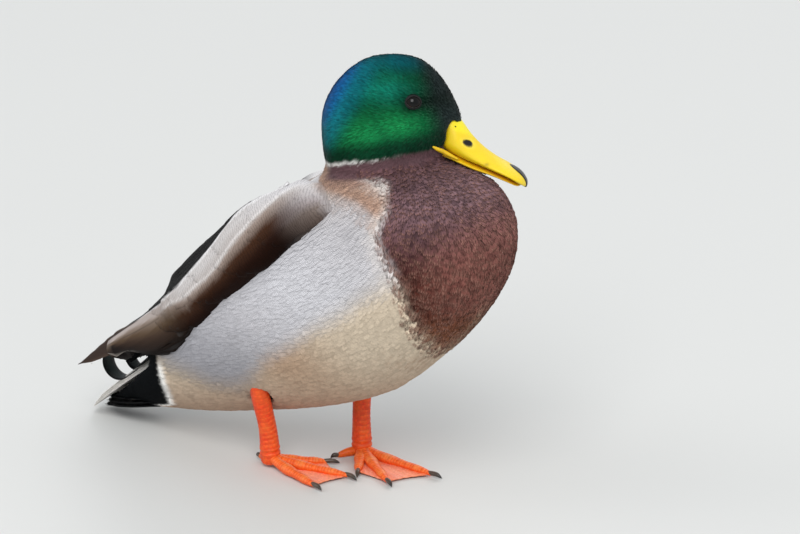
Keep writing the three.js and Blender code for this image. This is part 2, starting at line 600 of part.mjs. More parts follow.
for (const [side, { ankle, toes, hallux }] of Object.entries(FEET)) {
  const [x, y] = ankle;
  const toeList = Object.entries(toes);
  const limbs = toeList.map(([, toe]) => (
    limb(toePoints(ankle, toe), TOE.radii, { around: 8, along: 8, flat: TOE.flat })));
  const [backward, reach] = hallux;
  const back = compass(backward).multiplyScalar(reach);
  limbs.push(
    limb(
      [[x, y, 4.4], [x + back.x * 0.5, y + back.y * 0.5, 4.2], [x + back.x, y + back.y, HALLUX.tip]],
      HALLUX.radii,
      { around: 7, along: 5 },
    ),
    solidOf(new THREE.SphereGeometry(KNOB.radius, 12, 8).translate(x, y, KNOB.height)),
    webSolid(ankle, toes.inner, toes.middle),
    webSolid(ankle, toes.middle, toes.outer),
  );
  let foot = onFloor(joined(limbs)).trimByPlane([0, 0, -1], -LEG.ankle);
  const claws = toeList.map(([name, [azimuth, length, turn]]) => {
    const tip = compass(azimuth).multiplyScalar(length).add(at([x, y, TOE.low]));
    return [name, clawSolid(tip, azimuth + turn, CLAW.length)];
  });
  const halluxTip = back.clone().add(at([x, y, HALLUX.tip]));
  claws.push(['hallux', clawSolid(halluxTip, backward, CLAW.hallux)]);
  for (const [name, claw] of claws) {
    foot = foot.subtract(claw(GAP));
    node(`claw_${side}_${name}`, onFloor(claw(0)), '#3a3330', 0.5);
  }
  node(`foot_${side}`, foot, '#e8581a', 0.6);
  const [lean, high] = LEG.hock;
  const shank = limb(
    [[x, y, 2], [x, y, 9], [x + lean * 0.3, y, 26], [x + lean * 0.8, y, 44], [x + lean, y, high]],
    LEG.radii, { around: 10, along: 9 });
  const above = shank.trimByPlane([0, 0, 1], LEG.ankle + GAP);
  node(`leg_${side}`, above.subtract(trunkRoom), '#e8581a', 0.6);
}

// ---- The whole bird, moved so that the middle of its box's bottom is the origin ----

const duck = new THREE.Group();
duck.add(...nodes);
const box = new THREE.Box3().setFromObject(duck);
duck.position.set(-(box.min.x + box.max.x) / 2, -(box.min.y + box.max.y) / 2, -box.min.z);

export default duck;
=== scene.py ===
"""A life-size drake mallard, standing at rest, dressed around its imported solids.

Lengths are in millimetres in the tables and in metres in the meshes. +X is the way the body
faces, +Y is the bird's left and +Z is up. The origin is on the floor under the bird.
"""

import json
import logging
import math
from collections.abc import Callable, Sequence
from dataclasses import dataclass, field
from enum import Enum
from functools import partial

import bmesh
import bpy
import numpy as np
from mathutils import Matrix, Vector
from mathutils.bvhtree import BVHTree
from mathutils.kdtree import KDTree

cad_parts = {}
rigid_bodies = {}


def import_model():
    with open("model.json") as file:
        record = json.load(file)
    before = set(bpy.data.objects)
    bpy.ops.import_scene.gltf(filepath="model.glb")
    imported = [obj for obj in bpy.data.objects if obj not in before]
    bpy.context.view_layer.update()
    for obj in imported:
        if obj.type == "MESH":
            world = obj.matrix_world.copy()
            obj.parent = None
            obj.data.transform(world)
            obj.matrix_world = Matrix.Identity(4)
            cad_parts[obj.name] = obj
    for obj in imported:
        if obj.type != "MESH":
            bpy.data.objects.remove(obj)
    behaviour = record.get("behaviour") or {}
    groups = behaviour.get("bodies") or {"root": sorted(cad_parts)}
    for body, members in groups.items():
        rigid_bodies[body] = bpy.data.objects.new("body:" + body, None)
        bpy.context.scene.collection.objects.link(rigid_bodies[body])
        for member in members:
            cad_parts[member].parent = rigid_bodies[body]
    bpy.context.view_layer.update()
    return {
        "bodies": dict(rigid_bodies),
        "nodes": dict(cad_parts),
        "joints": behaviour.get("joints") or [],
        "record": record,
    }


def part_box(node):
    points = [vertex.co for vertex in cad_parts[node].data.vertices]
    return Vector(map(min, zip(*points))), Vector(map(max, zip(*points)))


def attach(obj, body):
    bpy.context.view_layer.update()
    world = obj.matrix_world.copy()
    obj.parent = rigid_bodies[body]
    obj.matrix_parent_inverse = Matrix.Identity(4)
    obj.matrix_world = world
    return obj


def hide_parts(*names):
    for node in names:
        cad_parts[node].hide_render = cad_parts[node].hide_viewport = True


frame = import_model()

LOG = logging.getLogger("mallard")
MM = 0.001
BODY = "root"
PATCH = 0.003  # how wide each feather's patch is on the coat's bake map
Array = np.ndarray
Socket = bpy.types.NodeSocket
Node = bpy.types.Node
Mesh = bpy.types.Mesh
Thing = bpy.types.Object
Material = bpy.types.Material
Point = tuple[float, float, float]
LEFTWARDS = np.array([0.0, 1.0, 0.0])
UPWARDS = np.array([0.0, 0.0, 1.0])


class Side(Enum):
    """A side of the bird, with the sign of its Y."""

    RIGHT = -1
    LEFT = 1

    @property
    def word(self) -> str:
        """The side's word in the names of pieces."""
        return self.name.lower()


# ---- Small tools ----


def tint(code: str) -> Array:
    """A display colour such as "#20a040" as linear red, green and blue."""
    shares = np.array([int(code[i : i + 2], 16) / 255 for i in (1, 3, 5)])
    return np.where(shares <= 0.04045, shares / 12.92, ((shares + 0.055) / 1.055) ** 2.4)


def unit(vectors: Array) -> Array:
    """Vectors at length one, along the last axis."""
    return vectors / np.maximum(np.linalg.norm(vectors, axis=-1, keepdims=True), 1e-9)


def ease(low: float, high: float, value: Array) -> Array:
    """A smooth step from 0 at low to 1 at high; low may be the larger."""
    t = np.clip((value - low) / (high - low), 0, 1)
    return t * t * (3 - 2 * t)


def blend(first: Array, second: Array, share: Array) -> Array:
    """Mixes two colours or vectors by a share for each point."""
    part = np.asarray(share)[..., None]
    return first * (1 - part) + second * part


def hump(value: Array, centre: float, width: float) -> Array:
    """A soft bump of height 1 about a centre."""
    return np.exp(-(((value - centre) / width) ** 2))


def layered(colour: Array, *coats: tuple[str, Array]) -> Array:
    """Lays coats of colour over each other.

    Args:
        colour: The colours to begin with.
        coats: A display colour and its share at each point, from the lowest coat to the highest.

    Returns:
        The colours that are seen.
    """
    for code, share in coats:
        colour = blend(colour, tint(code), share)
    return colour


def lattice(rows: int, columns: int) -> tuple[Array, Array]:
    """Shares from 0 to 1 down the rows, and from -1 to 1 across the columns."""
    return np.linspace(0, 1, rows)[:, None], np.linspace(-1, 1, columns)[None, :]


def around(columns: int) -> Array:
    """Angles round a full turn, as one row."""
    return np.linspace(0, 2 * math.pi, columns, endpoint=False)[None, :]


def spline(points: Sequence | Array, at: Array) -> Array:
    """Points on a smooth curve through control points.

    Args:
        points: The control points, evenly spaced in the curve's parameter.
        at: Parameters from 0 to 1.

    Returns:
        One point for each parameter.
    """
    p = np.asarray(points, float)
    last = len(p) - 1
    x = np.clip(np.asarray(at, float), 0, 1) * last
    i = np.minimum(x.astype(int), last - 1)
    f = (x - i).reshape(x.shape + (1,) * (p.ndim - 1))
    before, a, b, after = p[np.maximum(i - 1, 0)], p[i], p[i + 1], p[np.minimum(i + 2, last)]
    return 0.5 * (
        2 * a
        + (b - before) * f
        + (2 * before - 5 * a + 4 * b - after) * f**2
        + (3 * (a - b) + after - before) * f**3
    )


def node_centre(name: str) -> Array:
    """The middle of a frame node's box, in millimetres."""
    low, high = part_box(name)
    return np.array((low + high) / 2) / MM


def store(mesh: Mesh, name: str, kind: str, values: Array, domain: str = "POINT") -> None:
    """Writes an attribute of a mesh from an array.

    Args:
        mesh: The mesh.
        name: The attribute's name.
        kind: Its data type, such as FLOAT or FLOAT_VECTOR.
        values: One row for each element.
        domain: POINT or CORNER.
    """
    key = {"FLOAT_VECTOR": "vector", "FLOAT2": "vector", "FLOAT_COLOR": "color"}.get(kind, "value")
    found = mesh.attributes.get(name) or mesh.attributes.new(name, kind, domain)
    found.data.foreach_set(key, np.ascontiguousarray(values, np.float32).ravel())


def colours_with_alpha(colours: Array) -> Array:
    """Adds a full alpha to rows of colours."""
    return np.concatenate([colours, np.ones(colours.shape[:-1] + (1,))], axis=-1)


def evaluated(source: Thing, name: str) -> Thing:
    """Turns an object with modifiers into a plain mesh object and removes the source.

    Args:
        source: An object with modifiers.
        name: The new object's name.

    Returns:
        The plain mesh object.
    """
    bpy.context.view_layer.update()
    graph = bpy.context.evaluated_depsgraph_get()
    mesh = bpy.data.meshes.new_from_object(source.evaluated_get(graph), depsgraph=graph)
    mesh.name = name
    bpy.data.objects.remove(source)
    return placed(mesh, name)


def placed(mesh: Mesh, name: str) -> Thing:
    """A new object in the scene that shows a mesh.

    Args:
        mesh: The mesh.
        name: The object's name.

    Returns:
        The object.
    """
    made = bpy.data.objects.new(name, mesh)
    bpy.context.scene.collection.objects.link(made)
    return made


def positions(mesh: Mesh) -> Array:
    """The mesh's points in millimetres.

    Args:
        mesh: The mesh.

    Returns:
        One row for each point.
    """
    co = np.empty(len(mesh.vertices) * 3, np.float32)
    mesh.vertices.foreach_get("co", co)
    return co.reshape(-1, 3).astype(float) / MM


def move_points(mesh: Mesh, points: Array) -> None:
    """Sets the mesh's points from millimetres."""
    mesh.vertices.foreach_set("co", (points * MM).astype(np.float32).ravel())
    mesh.update()


def point_normals(mesh: Mesh) -> Array:
    """The smooth normal at each of the mesh's points.

    Args:
        mesh: The mesh.

    Returns:
        One unit vector for each point.
    """
    out = np.empty(len(mesh.vertices) * 3, np.float32)
    mesh.vertex_normals.foreach_get("vector", out)
    return out.reshape(-1, 3).astype(float)


def corner_points(mesh: Mesh) -> Array:
    """Which point each corner of the faces stands on.

    Args:
        mesh: The mesh.

    Returns:
        The points' numbers.
    """
    out = np.empty(len(mesh.loops), np.int32)
    mesh.loops.foreach_get("vertex_index", out)
    return out


def averaged(mesh: Mesh, values: Array, rounds: int) -> Array:
    """Averages vectors on the points with those of their neighbours along the edges.

    Args:
        mesh: The mesh, for its edges.
        values: One row for each point.
        rounds: How many times.

    Returns:
        The averaged rows.
    """
    ends = np.empty(len(mesh.edges) * 2, np.int32)
    mesh.edges.foreach_get("vertices", ends)
    a, b = ends.reshape(-1, 2).T
    count = 1 + np.bincount(ends, minlength=len(values))
    for _ in range(rounds):
        total = values.copy()
        for k in range(values.shape[1]):
            total[:, k] += np.bincount(a, values[b, k], len(total))
            total[:, k] += np.bincount(b, values[a, k], len(total))
        values = total / count[:, None]
    return values


def smooth_shaded(made: Thing) -> Thing:
    """Shades an object smoothly."""
    made.data.polygons.foreach_set("use_smooth", np.ones(len(made.data.polygons), bool))
    return made


def mount(made: Thing, slot: str, *nodes: str) -> None:
    """Rides a finished piece on the body, hides the nodes that it stands for and reports it.

    Args:
        made: The piece.
        slot: The slot of its look; not used.
        nodes: The frame nodes that it stands for.
    """
    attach(made, BODY)
    if nodes:
        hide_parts(*nodes)
    LOG.info("%s: %d faces", made.name, len(made.data.polygons))


def fused(nodes: Sequence[str], name: str, voxel: float, rounds: int) -> Thing:
    """Joins copies of frame nodes into one smooth closed skin.

    Args:
        nodes: The frame's nodes to join.
        name: The new object's name.
        voxel: The size of the skin's faces in millimetres.
        rounds: How many times the skin is smoothed.

    Returns:
        A new mesh object.
    """
    whole = bmesh.new()
    for node in nodes:
        whole.from_mesh(frame["nodes"][node].data)
    bmesh.ops.remove_doubles(whole, verts=whole.verts, dist=1e-6)
    mesh = bpy.data.meshes.new(name)
    whole.to_mesh(mesh)
    whole.free()
    source = placed(mesh, name + "_source")
    remesh = source.modifiers.new("Remesh", "REMESH")
    remesh.mode = "VOXEL"
    remesh.voxel_size = voxel * MM
    relax = source.modifiers.new("Smooth", "SMOOTH")
    relax.factor = 0.5
    relax.iterations = rounds
    return evaluated(source, name)


@dataclass
class Patchwork:
    """Grids of points that are gathered into one mesh."""

    points: list[Array] = field(default_factory=list)
    faces: list[Array] = field(default_factory=list)
    maps: list[Array] = field(default_factory=list)
    colours: list[Array] = field(default_factory=list)
    tones: list[Array] = field(default_factory=list)
    caps: list[list[int]] = field(default_factory=list)
    count: int = 0

    def add(
        self, grid: Array, colour: Array, tone: float = 0.5, ring: bool = False, capped: bool = False,
    ) -> None:
        """Adds one grid of points, whose faces look along rows crossed with columns.

        Args:
            grid: Points of shape (rows, columns, 3).
            colour: A colour for each point, or one for all.
            tone: A number that the shader may vary the piece by.
            ring: Joins the last column to the first.
            capped: Closes the first and the last row.
        """
        rows, columns = grid.shape[:2]
        index = np.arange(rows * columns).reshape(rows, columns) + self.count
        if capped:
            self.caps += [index[0].tolist(), index[-1][::-1].tolist()]
        if ring:
            index = np.concatenate([index, index[:, :1]], axis=1)
        a, b, c, d = index[:-1, :-1], index[:-1, 1:], index[1:, 1:], index[1:, :-1]
        quads = np.stack([a, d, c, b], axis=-1).reshape(-1, 4)
        across, along = np.meshgrid(np.linspace(0, 1, columns), np.linspace(0, 1, rows))
        self.points.append(grid.reshape(-1, 3))
        self.faces.append(quads)
        self.maps.append(np.stack([across, along], axis=-1).reshape(-1, 2))
        self.colours.append(np.broadcast_to(colour, grid.shape).reshape(-1, 3))
        self.tones.append(np.full(rows * columns, tone))
        self.count += rows * columns

    def vane(self, grid: Array, normals: Array, thick: float, colour: Array, tone: float) -> None:
        """Adds a thin closed plate about a grid of points.

        Args:
            grid: The plate's middle points, (rows, columns, 3).
            normals: The way that its upper face looks at each point.
            thick: Its thickness in millimetres at the root; it thins towards the tip.
            colour: A colour for each point, or one for all.
            tone: A number that the shader may vary the feather by.
        """
        rows, columns = grid.shape[:2]
        shares = np.linspace(1, 0.4, rows)[:, None, None]
        edge = np.ones(columns)
        edge[[0, -1]] = 0.3
        half = normals * (thick / 2) * shares * edge[None, :, None]
        loop = np.concatenate([grid + half, (grid - half)[:, ::-1]], axis=1)
        shade = np.broadcast_to(colour, grid.shape)
        shade = np.concatenate([shade, shade[:, ::-1]], axis=1)
        before = self.count
        self.add(loop, shade, tone, ring=True)
        across = np.linspace(0, 1, columns)
        self.maps[-1][:, 0] = np.tile(np.concatenate([across, across[::-1]]), rows)
        for start, turned in ((before, False), (before + (rows - 1) * 2 * columns, True)):
            top = start + np.arange(columns)
            low = start + 2 * columns - 1 - np.arange(columns)
            cap = np.stack([top[:-1], top[1:], low[1:], low[:-1]], axis=-1)
            self.faces.append(cap[:, ::-1] if turned else cap)

    def build(self, name: str, material: Material) -> Thing:
        """Makes the mesh object, with the map "vane" and the colours "plumage".

        Args:
            name: The object's name.
            material: Its finish.

        Returns:
            The new object, shaded smoothly.
        """
        mesh = bpy.data.meshes.new(name)
        faces = np.concatenate(self.faces).tolist() + self.caps
        mesh.from_pydata(np.concatenate(self.points) * MM, [], faces)
        mesh.update()
        mesh.uv_layers.new(name="vane")
        store(mesh, "vane", "FLOAT2", np.concatenate(self.maps)[corner_points(mesh)], "CORNER")
        store(mesh, "plumage", "FLOAT_COLOR", colours_with_alpha(np.concatenate(self.colours)))
        store(mesh, "tone", "FLOAT", np.concatenate(self.tones))
        mesh.materials.append(material)
        return smooth_shaded(placed(mesh, name))


# ---- Finishes ----


class NodeWriter:
    """A short way to write a tree of nodes."""

    def __init__(self, tree: bpy.types.NodeTree) -> None:
        """Takes the tree to write in."""
        self.tree = tree

    def node(self, kind: str, feeds: dict | None = None, **settings: object) -> Node:
        """Adds a node.

        Args:
            kind: Its type.
            feeds: What its inputs get, by their names or numbers.
            settings: Its properties.

        Returns:
            The new node.
        """
        made = self.tree.nodes.new(kind)
        for key, value in settings.items():
            setattr(made, key, value)
        for key, value in (feeds or {}).items():
            self.feed(made.inputs[key], value)
        return made

    def feed(self, socket: Socket, value: object) -> None:
        """Fills a socket.

        Args:
            socket: The input to fill.
            value: A link's source, a number, a vector or a colour.
        """
        if isinstance(value, Socket):
            self.tree.links.new(value, socket)
        elif isinstance(value, Array):
            socket.default_value = (*value, 1.0)
        else:
            socket.default_value = value


class Shader(NodeWriter):
    """A short way to write a material's nodes."""

    def __init__(self, name: str) -> None:
        """Starts a material with one surface shader.

        Args:
            name: The material's name.
        """
        self.material = bpy.data.materials.new(name)
        self.material.use_nodes = True
        super().__init__(self.material.node_tree)
        self.surface = self.tree.nodes["Principled BSDF"]

    def math(self, operation: str, first: object, second: object = 0.0, clamp: bool = False) -> Socket:
        """One step of arithmetic."""
        feeds = {0: first, 1: second}
        return self.node("ShaderNodeMath", feeds, operation=operation, use_clamp=clamp).outputs[0]

    def step(self, value: object, low: float, high: float) -> Socket:
        """A smooth step of a value from 0 at low to 1 at high."""
        feeds = {"Value": value, "From Min": low, "From Max": high}
        return self.node("ShaderNodeMapRange", feeds, interpolation_type="SMOOTHSTEP").outputs["Result"]

    def mix(self, share: object, first: object, second: object, how: str = "MIX") -> Socket:
        """Mixes two colours."""
        feeds = {0: share, 6: first, 7: second}
        return self.node("ShaderNodeMix", feeds, data_type="RGBA", blend_type=how).outputs[2]

    def dimmed(self, shade: Socket, share: Socket, most: float) -> Socket:
        """A shade, darkened by a share of the most that is given."""
        return self.math("MULTIPLY", shade, self.math("SUBTRACT", 1.0, self.math("MULTIPLY", share, most)))

    def attribute(self, name: str) -> Socket:
        """A colour attribute of the mesh."""
        return self.node("ShaderNodeAttribute", attribute_name=name).outputs["Color"]

    def number(self, name: str) -> Socket:
        """A number attribute of the mesh."""
        return self.node("ShaderNodeAttribute", attribute_name=name).outputs["Fac"]

    def place(self) -> Socket:
        """The object's own coordinates."""
        return self.node("ShaderNodeTexCoord").outputs["Object"]

    def vane(self) -> tuple[Socket, Socket]:
        """The places across and along a feather, each from 0 to 1."""
        across, along, _ = self.node("ShaderNodeSeparateXYZ", {0: self.unwrapped("vane")}).outputs
        return across, along

    def unwrapped(self, name: str) -> Socket:
        """The places on one of the mesh's own maps."""
        return self.node("ShaderNodeUVMap", uv_map=name).outputs[0]

    def noise(self, scale: float, detail: float = 2.0, where: object = None) -> Socket:
        """A noise from 0 to 1 over the object's own coordinates."""
        feeds = {"Vector": self.place() if where is None else where, "Scale": scale, "Detail": detail}
        return self.node("ShaderNodeTexNoise", feeds).outputs["Fac"]

    def cells(self, scale: float) -> Socket:
        """The distance from the middle of each of many small cells."""
        return self.node("ShaderNodeTexVoronoi", {"Vector": self.place(), "Scale": scale}).outputs["Distance"]

    def stretched(self, factors: Point) -> Socket:
        """The object's own coordinates, scaled along each axis."""
        return self.node("ShaderNodeMapping", {"Vector": self.place(), "Scale": factors}).outputs[0]

    def bump(self, height: object, strength: float, distance: float) -> None:
        """Gives the surface a relief; distance is in millimetres."""
        feeds = {"Height": height, "Strength": strength, "Distance": distance * MM}
        self.feed(self.surface.inputs["Normal"], self.node("ShaderNodeBump", feeds).outputs[0])

    def finish(self, colour: object, **sockets: object) -> Material:
        """Completes the material.

        Args:
            colour: The base colour.
            sockets: What the surface shader's other inputs get, with _ for a space in a name.

        Returns:
            The material.
        """
        self.feed(self.surface.inputs["Base Color"], colour)
        for name, value in sockets.items():
            self.feed(self.surface.inputs[name.replace("_", " ")], value)
        return self.material


@dataclass(frozen=True)
class PlumageFinish:
    """The finish of feathers that carry their colour in the attribute "plumage"."""

    name: str
    rough: float = 0.72
    metal: float = 0.0
    bars: float = 0.0  # how dark the fine wavy bars across each vane are
    bar_count: float = 7.0
    fringe: Array | None = None  # the colour of each vane's rim
    fringe_share: float = 0.0
    fringe_from: float = 0.8
    barbs: float = 0.16
    barb_count: float = 16.0
    barb_slant: float = 1.3  # how far back the barbs lie at the rim
    barb_height: float = 0.15
    spread: float = 0.35  # how much one feather differs from the next
    shaft: float = 0.0  # how dark the shaft is
    shaft_half: float = 0.035
    sheen: float = 0.05
    bump: float = 0.35
    gloss: float = 0.25

    def build(self) -> Material:
        """Writes the material.

        Returns:
            The new material.
        """
        s = Shader(self.name)
        across, along = s.vane()
        aside = s.math("ABSOLUTE", s.math("SUBTRACT", across, 0.5))
        tone, colour = s.number("tone"), s.attribute("plumage")
        slant = s.math("SUBTRACT", along, s.math("MULTIPLY", aside, self.barb_slant))
        wander = s.math("MULTIPLY", s.noise(900, 2.0), 1.6)
        phase = s.math("ADD", s.math("MULTIPLY", slant, self.barb_count), wander)
        barbs = s.math("SINE", s.math("MULTIPLY", phase, 2 * math.pi))
        shade = s.math("ADD", s.math("MULTIPLY", barbs, self.barbs), 1.0)
        lift = s.math("MULTIPLY", s.math("SUBTRACT", tone, 0.5), 2 * self.spread)
        shade = s.math("MULTIPLY", shade, s.math("ADD", lift, 1.0))
        if self.bars:
            ripple = s.math("MULTIPLY", s.noise(420, 2.0), 1.5)
            turn = s.math("ADD", s.math("MULTIPLY", along, self.bar_count), ripple)
            turn = s.math("ADD", turn, s.math("MULTIPLY", tone, 5.0))
            bar = s.step(s.math("SINE", s.math("MULTIPLY", turn, 2 * math.pi)), 0.1, 0.9)
            shade = s.dimmed(shade, bar, self.bars)
        if self.shaft:
            shade = s.dimmed(shade, s.step(aside, self.shaft_half, 0.0), self.shaft)
        if self.fringe is not None:
            rim = s.math("ADD", s.step(along, self.fringe_from, 1.0), s.step(aside, 0.4, 0.5), clamp=True)
            patchy = s.math("MULTIPLY", rim, s.step(s.noise(160, 3.0), 0.3, 0.62))
            colour = s.mix(s.math("MULTIPLY", patchy, self.fringe_share), colour, self.fringe)
        grey = s.node("ShaderNodeCombineColor", {0: shade, 1: shade, 2: shade}).outputs[0]
        s.bump(barbs, self.bump, self.barb_height)
        return s.finish(
            s.mix(1.0, colour, grey, "MULTIPLY"), Roughness=self.rough, Metallic=self.metal,
            Sheen_Weight=self.sheen, Sheen_Roughness=0.4, Specular_IOR_Level=self.gloss,
        )


@dataclass(frozen=True)
class HornFinish:
    """Smooth horn, with faint growth lines and stains."""

    name: str
    rough: float = 0.36
    stain: Array = field(default_factory=lambda: tint("#6d4a12"))
    stain_share: float = 0.1

    def build(self) -> Material:
        """Writes the material.

        Returns:
            The new material.
        """
        s = Shader(self.name)
        grain = s.noise(60, 4.0, s.stretched((1.0, 1.0, 5.0)))
        cloud = s.step(s.noise(55, 3.0), 0.5, 0.85)
        colour = s.mix(s.math("MULTIPLY", cloud, self.stain_share), s.attribute("plumage"), self.stain)
        s.bump(s.math("ADD", grain, s.math("MULTIPLY", s.noise(700, 2.0), 0.4)), 0.25, 0.25)
        rough = s.math("ADD", s.math("MULTIPLY", grain, 0.15), self.rough - 0.07)
        return s.finish(colour, Roughness=rough, Subsurface_Weight=0.08, Subsurface_Scale=0.002)


@dataclass(frozen=True)
class ScaleFinish:
    """Scaly skin of legs and webs."""

    name: str
    cell: float = 900.0
    relief: float = 0.3
    rough: float = 0.42

    def build(self) -> Material:
        """Writes the material.

        Returns:
            The new material.
        """
        s = Shader(self.name)
        cells = s.cells(self.cell)
        cracks = s.step(cells, 0.25, 0.65)
        base = s.attribute("plumage")
        deep = s.mix(0.55, base, tint("#7a1c06"))
        colour = s.mix(s.math("MULTIPLY", cracks, 0.35), base, deep)
        cloud = s.step(s.noise(140, 3.0), 0.35, 0.75)
        colour = s.mix(s.math("MULTIPLY", cloud, 0.18), colour, tint("#ff9a3c"))
        s.bump(s.math("SUBTRACT", 1.0, cells), self.relief, 0.25)
        return s.finish(
            colour, Roughness=self.rough, Subsurface_Weight=0.06, Subsurface_Scale=0.002,
            Specular_IOR_Level=0.25,
        )


@dataclass(frozen=True)
class EyeFinish:
    """A wet, very dark eye with a brown iris that carries its colour in "plumage"."""

    name: str

    def build(self) -> Material:
        """Writes the material.

        Returns:
            The new material.
        """
        s = Shader(self.name)
        streaks = s.noise(900, 2.0)
        colour = s.mix(s.math("MULTIPLY", streaks, 0.4), s.attribute("plumage"), tint("#050303"))
        return s.finish(colour, Roughness=0.12, Coat_Weight=0.3, Coat_Roughness=0.02, Specular_IOR_Level=0.1)


@dataclass(frozen=True)
class FloorFinish:
    """A plain pale floor."""

    name: str

    def build(self) -> Material:
        """Writes the material.

        Returns:
            The new material.
        """
        s = Shader(self.name)
        colour = s.mix(s.math("MULTIPLY", s.noise(6, 3.0), 0.06), tint("#cfcfcc"), tint("#bfbfbc"))
        return s.finish(colour, Roughness=0.6)


# ---- Markings ----


@dataclass(frozen=True)
class HeadPlace:
    """The head's middle and the way that it is turned."""

    centre: Point = (62.7, 5.0, 237.0)
    turn: float = 36.0
    collar: tuple[float, float] = (24.7, 197.0)  # a point [x, z] of the collar's plane
    collar_way: tuple[float, float] = (-0.258, 0.966)

    @property
    def ahead(self) -> Array:
        """The way that the bill points, seen from above."""
        angle = math.radians(self.turn)
        return np.array([math.cos(angle), math.sin(angle), 0.0])

    @property
    def aside(self) -> Array:
        """The head's own left."""
        return np.cross([0.0, 0.0, 1.0], self.ahead)

    def local(self, points: Array) -> tuple[Array, Array, Array]:
        """Places ahead of, to the left of and above the head's middle."""
        away = points - self.centre
        return away @ self.ahead, away @ self.aside, away[..., 2]

    def world(self, ahead: float, aside: float, up: float) -> Array:
        """The point at a place of the head's own frame."""
        return self.centre + ahead * self.ahead + aside * self.aside + [0, 0, up]

    def over_collar(self, points: Array) -> Array:
        """The height over the collar's plane."""
        way = np.array([self.collar_way[0], 0.0, self.collar_way[1]])
        return points @ way - np.dot(way, [self.collar[0], 0.0, self.collar[1]])


HEAD = HeadPlace()


